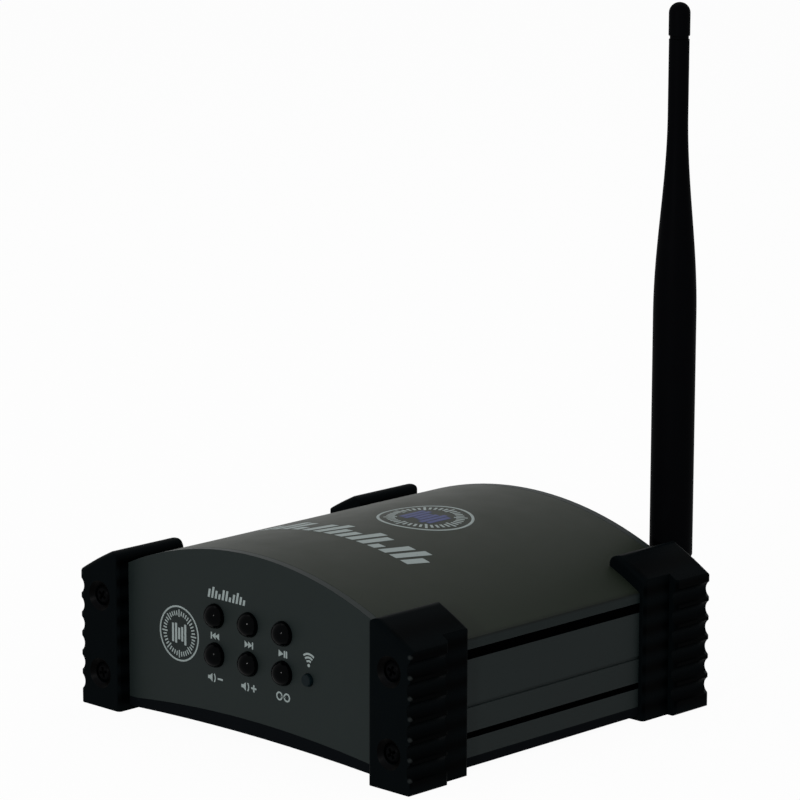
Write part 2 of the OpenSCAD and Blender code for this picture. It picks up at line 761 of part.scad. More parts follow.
// A button's cap: dome, body, collar behind the panel and stem to the plunger.
module button_cap(col, row) {
    dome_r = (pow(button_d / 2, 2) + dome_rise * dome_rise) / (2 * dome_rise);
    dome_y = -half_d - button_out - dome_rise;
    color("#0c0c0e") placed() translate([key_cols[col], 0, key_rows[row]]) {
        rod_y(button_d, -half_d - button_out + 0.3, collar_y + collar_t);
        intersection() {
            rod_y(button_d, dome_y - cut, dome_y + dome_rise + 0.5);
            translate([0, dome_y + dome_r, 0]) sphere(r = dome_r);
        }
        rod_y(collar_d, collar_y, collar_y + collar_t);
        rod_y(stem_d, collar_y, plunger_tip);
    }
}

module previous_button() { button_cap(0, 0); }

module next_button() { button_cap(1, 0); }

module play_button() { button_cap(2, 0); }

module volume_down_button() { button_cap(0, 1); }

module volume_up_button() { button_cap(1, 1); }

module pair_button() { button_cap(2, 1); }

// The moving plunger of a tact switch, pushed by the button's stem.
module plunger(col, row) {
    color("#c9b98c") placed() translate([key_cols[col], 0, key_rows[row]])
        rod_y(plunger_d, plunger_tip, switch_face + plunger_in);
}

module previous_plunger() { plunger(0, 0); }

module next_plunger() { plunger(1, 0); }

module play_plunger() { plunger(2, 0); }

module volume_down_plunger() { plunger(0, 1); }

module volume_up_plunger() { plunger(1, 1); }

module pair_plunger() { plunger(2, 1); }

// ---- rear sockets ----

flange_screw_d = 2.9;
flange_dx = 9.5;
flange_dz = 12;

// The two screws that hold a socket's flange stand on a diagonal.
module at_flange_holes() {
    for (side = [-1, 1]) translate([side * flange_dx, 0, side * flange_dz]) children();
}

module socket_shell(x) {
    color("#2b2d30") placed() translate([x, 0, xlr_z]) difference() {
        union() {
            rod_y(xlr_barrel_d, half_d - xlr_len, half_d);
            along_y(half_d, half_d + xlr_flange_t) rounded_plate(xlr_flange_w, xlr_flange_h, 3);
        }
        rod_y(xlr_bore_d, half_d - xlr_len - cut, half_d + xlr_flange_t + cut);
        at_flange_holes() rod_y(flange_screw_d + 2 * fit, half_d - cut, half_d + xlr_flange_t + cut);
    }
}

// A centred w by h plate with true round corners.
module rounded_plate(w, h, r) {
    square([w - 2 * r, h], center = true);
    square([w, h - 2 * r], center = true);
    for (sx = [-1, 1], sz = [-1, 1]) translate([sx * (w / 2 - r), sz * (h / 2 - r)]) circle(r = r);
}

module socket_shell_left() { socket_shell(xlr_left_x); }

module socket_shell_right() { socket_shell(xlr_right_x); }

pin_angles = [40, 140, 270];
insert_back = half_d - xlr_len;
leg_drop = 4;                                // how far behind the insert the legs turn down

module socket_insert(x) {
    color("#101113") placed() translate([x, 0, xlr_z]) difference() {
        rod_y(xlr_bore_d - 2 * fit, insert_back, insert_back + insert_t);
        for (a = pin_angles) translate([pin_ring * cos(a), 0, pin_ring * sin(a)])
            rod_y(pin_d + 2 * fit, insert_back - cut, insert_back + insert_t + cut);
    }
}

module socket_insert_left() { socket_insert(xlr_left_x); }

module socket_insert_right() { socket_insert(xlr_right_x); }

// Three contact pins; behind the insert each turns down to the main board.
module socket_pins(x) {
    tip_y = half_d + xlr_flange_t - pin_recess;
    color("#c8c9cb") placed() for (i = [0 : 2]) {
        px = x + pin_ring * cos(pin_angles[i]);
        pz = xlr_z + pin_ring * sin(pin_angles[i]);
        leg_y = insert_back - leg_drop + (i == 2 ? 1.6 : 0);
        translate([px, 0, pz]) rod_y(pin_d, leg_y - 0.6, tip_y - 1);
        translate([px, tip_y - 1, pz]) rotate([-90, 0, 0]) cylinder(d1 = pin_d, d2 = pin_d * 0.5, h = 1);
        translate([px - 0.6, leg_y - 0.6, board_top]) cube([1.2, 1.2, pz - board_top]);
    }
}

module socket_pins_left() { socket_pins(xlr_left_x); }

module socket_pins_right() { socket_pins(xlr_right_x); }

module socket_screws() {
    color("#1a1a1a") placed() for (x = [xlr_left_x, xlr_right_x]) translate([x, 0, xlr_z])
        at_flange_holes() {
            translate([0, half_d + xlr_flange_t, 0]) mirror([0, 1, 0])
                cross_screw(flange_screw_d, 9, 5.4, 1.6);
            difference() {
                translate([0, rear_in - 2.3, 0]) rotate([-90, 0, 0]) cylinder(d = 6.2, h = 2.3, $fn = 6);
                rod_y(flange_screw_d, rear_in - 4, rear_in + cut);
            }
        }
}

nose_d = 8.6;
inlet_w = 9;
inlet_h = 11;
inlet_z = board_top + inlet_h / 2;
inlet_deep = 9.5;

module power_inlet() {
    color("#111214") placed() translate([inlet_x, 0, inlet_z]) difference() {
        union() {
            translate([-inlet_w / 2, rear_in - 13, -inlet_h / 2]) cube([inlet_w, 13, inlet_h]);
            rod_y(nose_d, rear_in - cut, half_d + 0.3);
        }
        rod_y(inlet_bore_d, half_d + 0.3 - inlet_deep, half_d + cut);
    }
}

module power_inlet_pin() {
    color("#c8c9cb") placed() translate([inlet_x, half_d + 0.3 - inlet_deep, inlet_z]) {
        rod_y(2, 0, inlet_deep - 1.6);
        translate([0, inlet_deep - 1.6, 0]) sphere(d = 2);
    }
}

switch_w = 12;
switch_h = 8;
switch_z = board_top + switch_h / 2;
knob_w = 3.2;
knob_h = 3.4;
shoe_w = 5.4;                                // foot of the knob inside its case
shoe_h = 3.8;
shoe_gap = 0.2;
slot_w = knob_w + switch_travel + 0.8;
slot_h = knob_h + 1;

module power_switch() {
    cavity_w = shoe_w + switch_travel + 2 * shoe_gap;
    color("#b5b7b9") placed() translate([switch_x, rear_in - 7.5, switch_z]) difference() {
        translate([-switch_w / 2, 0, -switch_h / 2]) cube([switch_w, 7.5, switch_h]);
        translate([-cavity_w / 2, 4, -shoe_h / 2 - shoe_gap]) cube([cavity_w, 4.5, shoe_h + 2 * shoe_gap]);
    }
}

module power_switch_knob() {
    color("#0f0f10") placed() translate([switch_x - switch_travel / 2, rear_in, switch_z]) {
        translate([-shoe_w / 2, -3.3, -shoe_h / 2]) cube([shoe_w, 2.9, shoe_h]);
        translate([-knob_w / 2, -0.5, -knob_h / 2]) cube([knob_w, panel_t + 2.6, knob_h]);
    }
}

// ---- antenna ----

module antenna_socket() {
    color("#c9a54a") placed() translate([antenna_x, 0, antenna_z]) difference() {
        union() {
            rod_y(thread_d, rear_in - 2, half_d + thread_out);
            rod_y(thread_d + 2.4, rear_in - 2, rear_in);
            rod_y(4.4, tail_y, rear_in - 2);
        }
        rod_y(1.3, half_d + thread_out - 5, half_d + thread_out + cut);
    }
}

// Steel washer and six-sided nut that clamp the socket to the rear panel.
module antenna_washer() {
    color("#b0b2b4") placed() translate([antenna_x, 0, antenna_z]) difference() {
        rod_y(nut_w + 2, half_d, half_d + washer_t);
        rod_y(thread_d + 2 * fit, half_d - cut, half_d + washer_t + cut);
    }
}

module antenna_nut() {
    color("#c9a54a") placed() translate([antenna_x, 0, antenna_z]) difference() {
        translate([0, half_d + washer_t, 0]) rotate([-90, 0, 0])
            cylinder(d = nut_w / cos(30), h = nut_t, $fn = 6);
        rod_y(thread_d + 2 * fit, half_d - cut, sleeve_y + cut);
    }
}

// Lead from the socket's tail to the radio board: out, a quarter turn, down.
module antenna_lead() {
    bend_y = radio_y + lead_bend;
    color("#2a2a2c") placed() translate([antenna_x, 0, 0]) {
        translate([0, 0, antenna_z]) rod_y(lead_d, bend_y, tail_y);
        translate([0, bend_y, antenna_z - lead_bend]) rotate([0, -90, 0]) rotate([0, 0, -90])
            rotate_extrude(angle = 90) translate([lead_bend, 0]) circle(r = lead_r, $fn = 24);
        translate([0, radio_y, board_top + 2.2])
            cylinder(d = lead_d, h = antenna_z - lead_bend - board_top - 2.2);
    }
}

spigot_d = 5;
spigot_y = half_d + thread_out + 0.3;

// Screwed sleeve of the antenna, tightened on the socket; the swivel turns in it.
module antenna_sleeve() {
    color("#15161a") placed() translate([antenna_x, 0, antenna_z]) difference() {
        rod_y(knuckle_d, sleeve_y, sleeve_y + sleeve_len);
        rod_y(thread_d + 2 * fit, sleeve_y - cut, spigot_y);
        rod_y(spigot_d + 2 * hinge_gap, sleeve_y, sleeve_y + sleeve_len + cut);
    }
}

module antenna_swivel() {
    color("#15161a") placed() translate([antenna_x, 0, antenna_z]) difference() {
        union() {
            rod_y(spigot_d, spigot_y, neck_y);
            rod_y(knuckle_d, neck_y, neck_y + neck_t);
            intersection() {
                rod_y(knuckle_d, neck_y, antenna_y);
                translate([-tongue_t / 2, neck_y, -knuckle_d]) cube([tongue_t, hinge_out, 2 * knuckle_d]);
            }
            translate([-tongue_t / 2, antenna_y, 0]) rotate([0, 90, 0]) cylinder(d = knuckle_d, h = tongue_t);
        }
        translate([-knuckle_d, antenna_y, 0]) rotate([0, 90, 0])
            cylinder(d = hinge_pin_d + 2 * hinge_gap, h = 2 * knuckle_d);
    }
}

ear_out = tongue_t / 2 + side_gap + ear_t;   // outer face of an ear from the whip's axis

module antenna_hinge_pin() {
    color("#9da0a3") placed() translate([antenna_x - ear_out, antenna_y, antenna_z])
        rotate([0, 90, 0]) cylinder(d = hinge_pin_d, h = 2 * ear_out);
}

// Radius of the whip at height z above the hinge: a cosine flare.
function whip_r(z) = z <= taper_from ? whip_d / 2
    : z >= taper_to ? whip_top_d / 2
    : whip_top_d / 2 + (whip_d - whip_top_d) / 4 * (1 + cos(180 * (z - taper_from) / (taper_to - taper_from)));
cap_seat = whip_len - cap_h;
flare = [for (i = [0 : 16]) taper_from + (taper_to - taper_from) * i / 16];
core_from = whip_base + 2;
core_top = cap_seat - 6;

module antenna_whip() {
    chamfer = 0.8;
    color("#121316") placed() translate([antenna_x, antenna_y, antenna_z]) difference() {
        union() {
            rotate_extrude() polygon(concat(
                [[0, whip_base], [whip_d / 2 - chamfer, whip_base], [whip_d / 2, whip_base + chamfer]],
                [for (z = flare) [whip_r(z), z]],
                [[whip_top_d / 2, cap_seat], [0, cap_seat]]));
            for (side = [-1, 1]) translate([side * (ear_out - ear_t / 2) - ear_t / 2, 0, 0]) {
                rotate([0, 90, 0]) cylinder(d = knuckle_d, h = ear_t);
                translate([0, -knuckle_d / 2, 0]) cube([ear_t, knuckle_d, whip_base + cut]);
            }
        }
        translate([0, 0, core_from]) cylinder(d = core_d + 2 * fit, h = core_top - core_from + 0.2);
        translate([0, 0, cap_seat - 5]) cylinder(d = cap_plug_d + 2 * fit, h = 5 + cut);
        translate([-knuckle_d, 0, 0]) rotate([0, 90, 0])
            cylinder(d = hinge_pin_d + 2 * fit, h = 2 * knuckle_d);
    }
}

cap_plug_d = 3.6;

module antenna_core() {
    color("#b87a3a") placed() translate([antenna_x, antenna_y, antenna_z + core_from])
        cylinder(d = core_d, h = core_top - core_from);
}

module antenna_cap() {
    groove_h = 1;
    color("#121316") placed() translate([antenna_x, antenna_y, antenna_z + cap_seat]) {
        translate([0, 0, -4.6]) cylinder(d = cap_plug_d, h = 4.6);
        cylinder(d = cap_d - 0.8, h = groove_h);
        translate([0, 0, groove_h]) cylinder(d = cap_d, h = cap_h - groove_h - cap_d / 2);
        translate([0, 0, cap_h - cap_d / 2]) intersection() {
            sphere(d = cap_d);
            cylinder(d = cap_d + cut, h = cap_d);
        }
    }
}

base_plate();
side_rail_left();
side_rail_right();
top_cover();
front_panel();
rear_panel();
bumper_front_left();
bumper_front_right();
bumper_rear_left();
bumper_rear_right();
bumper_screws();
base_screws();
main_board();
line_transformers();
capacitors();
audio_chips();
regulator();
radio_board();
radio_shield();
button_board();
board_posts();
board_screws();
tact_switches();
link_cable();
link_headers();
status_lamp();
previous_button();
next_button();
play_button();
volume_down_button();
volume_up_button();
pair_button();
previous_plunger();
next_plunger();
play_plunger();
volume_down_plunger();
volume_up_plunger();
pair_plunger();
socket_shell_left();
socket_shell_right();
socket_insert_left();
socket_insert_right();
socket_pins_left();
socket_pins_right();
socket_screws();
power_inlet();
power_inlet_pin();
power_switch();
power_switch_knob();
antenna_socket();
antenna_nut();
antenna_washer();
antenna_lead();
antenna_sleeve();
antenna_swivel();
antenna_hinge_pin();
antenna_whip();
antenna_core();
antenna_cap();
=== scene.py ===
# Desk-top wireless audio receiver: the looks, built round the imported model.
# Metres throughout, +Z up, front towards -Y; sections follow the assembly.
import json
import math

import bmesh
import bpy
from mathutils import Matrix, Vector
from mathutils.bvhtree import BVHTree

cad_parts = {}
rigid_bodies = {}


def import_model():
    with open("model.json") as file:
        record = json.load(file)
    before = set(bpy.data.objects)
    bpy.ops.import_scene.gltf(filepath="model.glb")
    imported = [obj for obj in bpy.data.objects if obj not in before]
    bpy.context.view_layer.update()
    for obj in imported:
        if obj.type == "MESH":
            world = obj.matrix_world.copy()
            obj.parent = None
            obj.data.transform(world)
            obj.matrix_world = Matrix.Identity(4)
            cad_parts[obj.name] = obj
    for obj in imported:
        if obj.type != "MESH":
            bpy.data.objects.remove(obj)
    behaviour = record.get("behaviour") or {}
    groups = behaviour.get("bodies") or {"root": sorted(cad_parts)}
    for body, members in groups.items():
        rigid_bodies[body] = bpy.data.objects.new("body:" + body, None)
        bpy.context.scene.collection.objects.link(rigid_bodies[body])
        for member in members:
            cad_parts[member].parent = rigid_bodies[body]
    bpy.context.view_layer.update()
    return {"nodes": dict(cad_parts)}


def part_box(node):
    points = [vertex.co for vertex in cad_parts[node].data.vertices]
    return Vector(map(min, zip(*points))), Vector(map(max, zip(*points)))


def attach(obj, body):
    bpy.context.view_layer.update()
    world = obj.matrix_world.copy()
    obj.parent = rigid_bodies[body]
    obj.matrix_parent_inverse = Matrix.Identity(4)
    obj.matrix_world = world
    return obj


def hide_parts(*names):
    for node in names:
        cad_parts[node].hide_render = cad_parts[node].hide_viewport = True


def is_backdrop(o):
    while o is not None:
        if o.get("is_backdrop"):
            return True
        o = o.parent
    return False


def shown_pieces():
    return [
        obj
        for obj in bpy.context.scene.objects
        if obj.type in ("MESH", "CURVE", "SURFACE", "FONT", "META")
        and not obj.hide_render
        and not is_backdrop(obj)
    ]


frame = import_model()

cad_nodes = frame["nodes"]
scene = bpy.context.scene
scene.view_settings.view_transform = "Standard"
mm = 0.001

# ---- Camera ----
# A long studio lens looks down a little on the front right corner. Its place
# was worked out from the photograph's edges, so nothing is shifted.
image_side = 800
lens, sensor = 182.25, 36.0
shift_x, shift_y = 0.0, 0.0
camera_at = Vector((0.83523, -0.86997, 0.34414))
camera_turn = [math.radians(a) for a in (78.2731, -0.1514, 44.1283)]
probe_from, probe_step, probes = 0.9, 0.002, 400     # metres along a ray that misses

camera = bpy.data.objects.new("studio_camera", bpy.data.cameras.new("studio_camera"))
scene.collection.objects.link(camera)
camera.location, camera.rotation_euler = camera_at, camera_turn
camera.data.lens, camera.data.sensor_width = lens, sensor
camera.data.sensor_fit = "AUTO"
camera.data.shift_x, camera.data.shift_y = shift_x, shift_y
camera.data.clip_start, camera.data.clip_end = 0.05, 60
scene.camera = camera

# Pixels of the 800 x 800 photograph; None where only one direction is known.
image_points = {
    "left_edge": (80, None), "right_edge": (709.5, None),
    "top_edge": (None, 1.5), "bottom_edge": (None, 797.5),
    "previous_button": (214, 616.5), "next_button": (247.8, 625),
    "play_button": (282.3, 634.2), "volume_down_button": (214, 655),
    "volume_up_button": (246.8, 664.5), "pair_button": (282, 673),
    "status_lamp": (308.3, 680), "antenna_cap": (679, 19),
    "previous_mark": (215, 636), "next_mark": (249, 645), "play_mark": (283, 654),
}


def ray_through(px, py):
    """Start and direction of the camera ray through a pixel of the photograph."""
    w = h = l = image_side
    local = Vector((px - w / 2 + shift_x * l, h / 2 - py + shift_y * l, -l * lens / sensor))
    turn = camera.rotation_euler.to_matrix()
    return camera_at, (turn @ local).normalized()


def pixel_of(place):
    """Pixel at which a place in the frame shows."""
    local = camera.rotation_euler.to_matrix().transposed() @ (Vector(place) - camera_at)
    reach = image_side * lens / sensor / -local.z
    half = image_side / 2
    return (half + local.x * reach - shift_x * image_side,
            half - local.y * reach + shift_y * image_side)


def surface_of(objects):
    """BVHTree of finished pieces."""
    corners, faces = [], []
    for o in objects:
        first = len(corners)
        corners += [o.matrix_world @ v.co for v in o.data.vertices]
        faces += [[first + i for i in p.vertices] for p in o.data.polygons]
    return BVHTree.FromPolygons(corners, faces)


def place_at(point, *carriers):
    """Where an image point lies on its carriers; a miss takes the place nearest the ray."""
    tree = surface_of(carriers)
    start, way = ray_through(*image_points[point])
    hit = tree.ray_cast(start, way)
    if hit[0] is not None:
        return hit[0]
    along = [start + way * (probe_from + probe_step * i) for i in range(probes)]
    return min((tree.find_nearest(p) for p in along), key=lambda near: near[3])[0]


# ---- Studio ----
# A white paper sweep under a large soft box, a small key lamp and a pale room.
# Sweep and room show white to the lens and in reflections; the lamps stay plain.
class Wire:
    """One output of a node tree; arithmetic on it adds Math nodes to the tree."""

    def __init__(self, nodes, socket):
        self.nodes, self.socket = nodes, socket

    def _math(self, operation, a, b=None):
        sockets = {0: a} if b is None else {0: a, 1: b}
        return self.nodes.node("ShaderNodeMath", {"operation": operation}, sockets)

    def __add__(self, other): return self._math("ADD", self, other)
    def __radd__(self, other): return self._math("ADD", other, self)
    def __sub__(self, other): return self._math("SUBTRACT", self, other)
    def __rsub__(self, other): return self._math("SUBTRACT", other, self)
    def __mul__(self, other): return self._math("MULTIPLY", self, other)
    def __rmul__(self, other): return self._math("MULTIPLY", other, self)
    def __truediv__(self, other): return self._math("DIVIDE", self, other)
    def __rtruediv__(self, other): return self._math("DIVIDE", other, self)
    def __pow__(self, other): return self._math("POWER", self, other)
    def __mod__(self, other): return self._math("FLOORED_MODULO", self, other)
    def __gt__(self, other): return self._math("GREATER_THAN", self, other)
    def __abs__(self): return self._math("ABSOLUTE", self)
    def cos(self): return self._math("COSINE", self)
    def sin(self): return self._math("SINE", self)
    def at_most(self, other): return self._math("MINIMUM", self, other)
    def at_least(self, other): return self._math("MAXIMUM", self, other)
    def share(self): return self.at_least(0.0).at_most(1.0)


class Nodes:
    """A node tree in which one method makes every node."""

    def node(self, kind, settings=None, sockets=None, output=0):
        """A new node's output; a tuple of outputs gives a list, None gives nothing.

        A socket takes a value, a wire, or a list of wires where it has room for several.
        """
        made = self.tree.nodes.new(kind)
        for key, value in (settings or {}).items():
            setattr(made, key, value)
        for key, value in (sockets or {}).items():
            wires = value if isinstance(value, (list, tuple)) else [value]
            if isinstance(wires[0], Wire):
                for wire in wires:
                    self.tree.links.new(wire.socket, made.inputs[key])
            else:
                made.inputs[key].default_value = value
        if isinstance(output, tuple):
            return [Wire(self, made.outputs[one]) for one in output]
        return None if output is None else Wire(self, made.outputs[output])

    def apart(self, vector):
        """The three coordinates of a vector."""
        return self.node("ShaderNodeSeparateXYZ", None, {0: vector}, (0, 1, 2))

    def looked_at(self):
        """1 for a ray from the lens, a reflection or a glass, 0 for one that only lights."""
        from_lens, mirrored, through = self.node(
            "ShaderNodeLightPath", None, None,
            ("Is Camera Ray", "Is Glossy Ray", "Is Transmission Ray"))
        return from_lens.at_least(mirrored).at_least(through)


class Finish(Nodes):
    """A material on Object coordinates."""

    def __init__(self, name):
        self.material = bpy.data.materials.new(name)
        self.material.use_nodes = True
        self.tree = self.material.node_tree
        self.tree.nodes.clear()

    def show(self, surface):
        self.node("ShaderNodeOutputMaterial", None, {"Surface": surface}, None)
        return self.material


def mesh_object(name, mesh):
    made = bpy.data.objects.new(name, mesh)
    scene.collection.objects.link(made)
    return made


paper_white = (0.93, 0.93, 0.93, 1)
paper_shows_white = 0.96                     # share of the sweep's own white that the lens sees
room_level = 0.39                            # the room's light on what isn't seen directly
floor_half = 9.0

paper = Finish("paper_sweep")
lit = paper.node("ShaderNodeBsdfDiffuse", None, {"Color": paper_white})
white = paper.node("ShaderNodeEmission", None, {"Color": (1, 1, 1, 1), "Strength": 1.0})
paper.show(paper.node("ShaderNodeMixShader", None,
                      {0: paper.looked_at() * paper_shows_white, 1: lit, 2: white}))

sweep_mesh = bpy.data.meshes.new("paper_sweep")
sweep_mesh.from_pydata([(-floor_half, -floor_half, 0), (floor_half, -floor_half, 0),
                        (floor_half, floor_half, 0), (-floor_half, floor_half, 0)],
                       [], [(0, 1, 2, 3)])
sweep_mesh.materials.append(paper.material)
sweep = mesh_object("paper_sweep", sweep_mesh)
sweep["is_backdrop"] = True

room = Nodes()
scene.world = bpy.data.worlds.new("pale_room")
scene.world.use_nodes = True
room.tree = scene.world.node_tree
room.tree.nodes.clear()
level = room.looked_at() * (1.0 - room_level) + room_level
air = room.node("ShaderNodeBackground", None, {"Color": (1, 1, 1, 1), "Strength": level})
room.node("ShaderNodeOutputWorld", None, {"Surface": air}, None)

# name: place, aim, side length, watts
soft_boxes = {
    "overhead_box": ((-0.35, 0.35, 1.55), (0, 0, 0.03), 1.1, 5.5),
    "key_lamp": ((0.37, -1.14, 0.36), (0, 0, 0.04), 0.09, 5.0),
}
for name, (at, aim, side, watts) in soft_boxes.items():
    lamp = bpy.data.objects.new(name, bpy.data.lights.new(name, "AREA"))
    scene.collection.objects.link(lamp)
    lamp.data.size, lamp.data.energy = side, watts
    lamp.location = at
    lamp.rotation_euler = (Vector(aim) - Vector(at)).to_track_quat("-Z", "Y").to_euler()

# ---- Base plate ----
# A steel plate with a shallow arch pressed into its middle, painted black all
# over; the two side rails are screwed down on its flat margins.
merge_gap = 2e-6
flat_limit = math.radians(0.06)              # faces closer than this are one flat face
crease = math.radians(28)


def as_plain_mesh(piece):
    """Applies the piece's modifiers by taking its evaluated mesh."""
    evaluated = piece.evaluated_get(bpy.context.evaluated_depsgraph_get())
    plain = bpy.data.meshes.new_from_object(evaluated)
    piece.modifiers.clear()
    piece.data = plain
    return piece


def shade_smooth(piece):
    """Smooth shading between faces that meet at less than the crease angle."""
    piece.data.polygons.foreach_set("use_smooth", [True] * len(piece.data.polygons))
    piece.data.set_sharp_from_angle(angle=crease)
    return piece


def break_edges(piece, width, segments=2):
    """Rounds the piece's sharp edges and keeps its flat faces flat in the light."""
    shade_smooth(piece)
    bevel = piece.modifiers.new("broken_edges", "BEVEL")
    bevel.width, bevel.segments = width, segments
    bevel.limit_method, bevel.angle_limit = "ANGLE", crease
    bevel.miter_outer = "MITER_ARC"
    even = piece.modifiers.new("even_normals", "WEIGHTED_NORMAL")
    even.mode, even.weight, even.keep_sharp = "FACE_AREA", 100, True
    return as_plain_mesh(piece)


def dressed(node, name, width, segments=2):
    """A merged copy of a CAD node's mesh, its sharp edges broken by width in mm."""
    work = bmesh.new()
    work.from_mesh(cad_nodes[node].data)
    bmesh.ops.remove_doubles(work, verts=work.verts, dist=merge_gap)
    bmesh.ops.dissolve_limit(work, angle_limit=flat_limit, verts=work.verts, edges=work.edges)
    bmesh.ops.recalc_face_normals(work, faces=work.faces)
    mesh = bpy.data.meshes.new(name)
    work.to_mesh(mesh)
    work.free()
    return break_edges(mesh_object(name, mesh), width * mm, segments)


def coat_all(piece, material):
    """Gives every face of a piece the one material."""
    piece.data.materials.clear()
    piece.data.materials.append(material)
    piece.data.polygons.foreach_set("material_index", [0] * len(piece.data.polygons))
    return piece


def fasten(piece, material, body, slot, *stands_for):
    """Paints a finished piece and ties it to its CAD body and nodes."""
    coat_all(piece, material)
    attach(piece, body)
    if stands_for:
        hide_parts(*stands_for)
    return piece


def made_over(node, name, width, material, body, slot, segments=2):
    """A CAD node's dressed copy, painted, on its body and in the node's place."""
    return fasten(dressed(node, name, width, segments), material, body, slot, node)


def paint_node(node, material):
    """Gives a CAD node that keeps its own mesh a better material."""
    cad_nodes[node].data.materials.clear()
    cad_nodes[node].data.materials.append(material)


def object_place(finish, scale=(1, 1, 1)):
    """Object coordinates in millimetres, stretched by scale."""
    where = finish.node("ShaderNodeTexCoord", None, None, "Object")
    return finish.node("ShaderNodeMapping", None,
                       {"Vector": where, "Scale": [s / mm for s in scale]})


def facing_of(finish):
    """The three parts of the direction that the surface faces."""
    return finish.apart(finish.node("ShaderNodeTexCoord", None, None, "Normal"))


def mottle(finish, where, size, detail=2.0, roughness=0.5):
    """Noise from 0 to 1 with patches of about the given size in millimetres."""
    return finish.node("ShaderNodeTexNoise", None,
                       {"Vector": where, "Scale": 1.0 / size, "Detail": detail,
                        "Roughness": roughness})


def mixed(finish, share, a, b):
    """Colour a turning to colour b."""
    return finish.node("ShaderNodeMix", {"data_type": "RGBA"}, {0: share, 6: a, 7: b}, 2)


def bumped(finish, height, strength, distance):
    """Normal of a surface whose relief is distance millimetres deep."""
    return finish.node("ShaderNodeBump", None,
                       {"Height": height, "Strength": strength, "Distance": distance * mm})


def shader(finish, **sockets):
    """The surface itself; sockets are given with _ for a space."""
    named = {key.replace("_", " "): value for key, value in sockets.items()}
    return finish.show(finish.node("ShaderNodeBsdfPrincipled", None, named))


def toned(colour, factor, lift=0.0):
    """A colour made darker or lighter."""
    return [min(1, c * factor + lift) for c in colour[:3]] + [1]


coat_speck, coat_depth, smudge_size = 0.16, 0.02, 9.0    # share of tone, mm, mm


def powder_coat(name, colour, grain, rough, gloss, shade=None):
    """Fine-grained baked paint with tiny pits and smudges; shade may change its tone."""
    finish = Finish(name)
    where = object_place(finish)
    fine = mottle(finish, where, grain, 3.0, 0.6)
    broad = mottle(finish, where, smudge_size)
    blend = (fine * 0.65 + broad * 0.35 - 0.22) * 1.8
    tone = mixed(finish, blend, toned(colour, 1 - coat_speck), toned(colour, 1 + coat_speck))
    if shade:
        tone = shade(finish, where, tone)
    return shader(finish, Base_Color=tone,
                  Roughness=rough + (fine - 0.5) * 0.12 + (broad - 0.5) * 0.1,
                  Specular_IOR_Level=gloss, Normal=bumped(finish, fine, 0.35, coat_depth))


base_black = powder_coat("base_black_paint", (0.0030, 0.0039, 0.0049, 1), 0.3, 0.55, 0.006)
made_over("base_plate", "base_plate_painted", 0.35, base_black, "housing", "base_paint")

# ---- Side rails ----
# Extruded aluminium walls with a wide groove and a fine shadow line along them, powder coated, the
# wide groove painted black as shade; slots inside carry the main board, channels take the screws.
def second_coat(piece, material, chosen):
    """Gives the faces whose middle is chosen a second material."""
    piece.data.materials.append(material)
    for face in piece.data.polygons:
        if chosen(face.center):
            face.material_index = 1


rail_tone = (0.0105, 0.0152, 0.0152, 1)
rail_coat = powder_coat("rail_grey_coat", rail_tone, 0.25, 0.5, 0.07)
# Black paint standing in for the shade inside the wide groove: painted shade.
groove_shade_black = powder_coat("groove_painted_shade", (0.0006, 0.0007, 0.0009, 1), 0.3, 0.6, 0.0)
rail_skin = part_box("side_rail_right")[1].x - 0.3 * mm
fine_line = (15 * mm, 30 * mm)               # heights between which only the fine line lies


def in_groove(c):
    return abs(c.x) < rail_skin and not fine_line[0] < c.z < fine_line[1]


for side in ("left", "right"):
    rail = made_over(f"side_rail_{side}", f"side_rail_{side}_coated", 0.22, rail_coat,
                     "housing", "rail_paint")
    # the wide groove's faces take the painted shade black
    second_coat(rail, groove_shade_black, in_groove)

# ---- End panels ----
# Sheet aluminium ends cut to the arch, powder coated a shade bluer than the
# cover; each is held by four screws that also hold the bumpers.
panel_coat = powder_coat("panel_grey_coat", (0.0105, 0.0153, 0.0149, 1), 0.25, 0.5, 0.08)
front_panel = made_over("front_panel", "front_panel_coated", 0.15, panel_coat,
                        "housing", "panel_paint")
made_over("rear_panel", "rear_panel_coated", 0.15, panel_coat, "housing", "panel_paint")

# ---- Top cover ----
# A thin aluminium sheet rolled to an even arch, its long edges turned down over
# the rails, in a warm grey powder coat with a slight sheen.
top_cover = dressed("top_cover", "top_cover_coated", 0.15)
cover_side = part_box("top_cover")[1].x - 0.05 * mm
skin = [v.co.z for v in top_cover.data.vertices if abs(v.co.x) > cover_side]
lip_low, lip_high = min(skin), max(skin)
fold_reach, fold_shade = 0.8, 0.55           # mm, share of black in the fold
shade_black = (0.001, 0.001, 0.001, 1)


def folded(finish, where, tone):
    """Shade gathers in the fold above the lip, and the lip takes the rails' tone."""
    above = finish.apart(where)[2] - lip_high / mm
    tone = mixed(finish, (0.5 - above * 2.0).share(), tone, rail_tone)
    fold = (1.0 - abs(above) / fold_reach).at_least(0.0)
    return mixed(finish, fold * fold_shade, tone, shade_black)


cover_coat = powder_coat("cover_grey_coat", (0.0137, 0.0181, 0.0127, 1), 0.26, 0.47, 0.050,
                         folded)
fasten(top_cover, cover_coat, "housing", "cover_paint", "top_cover")
# The faces below the lip's edge, seen in the gap above the rail, take the painted shade black.
second_coat(top_cover, groove_shade_black, lambda c: c.z < lip_low + 0.02 * mm)

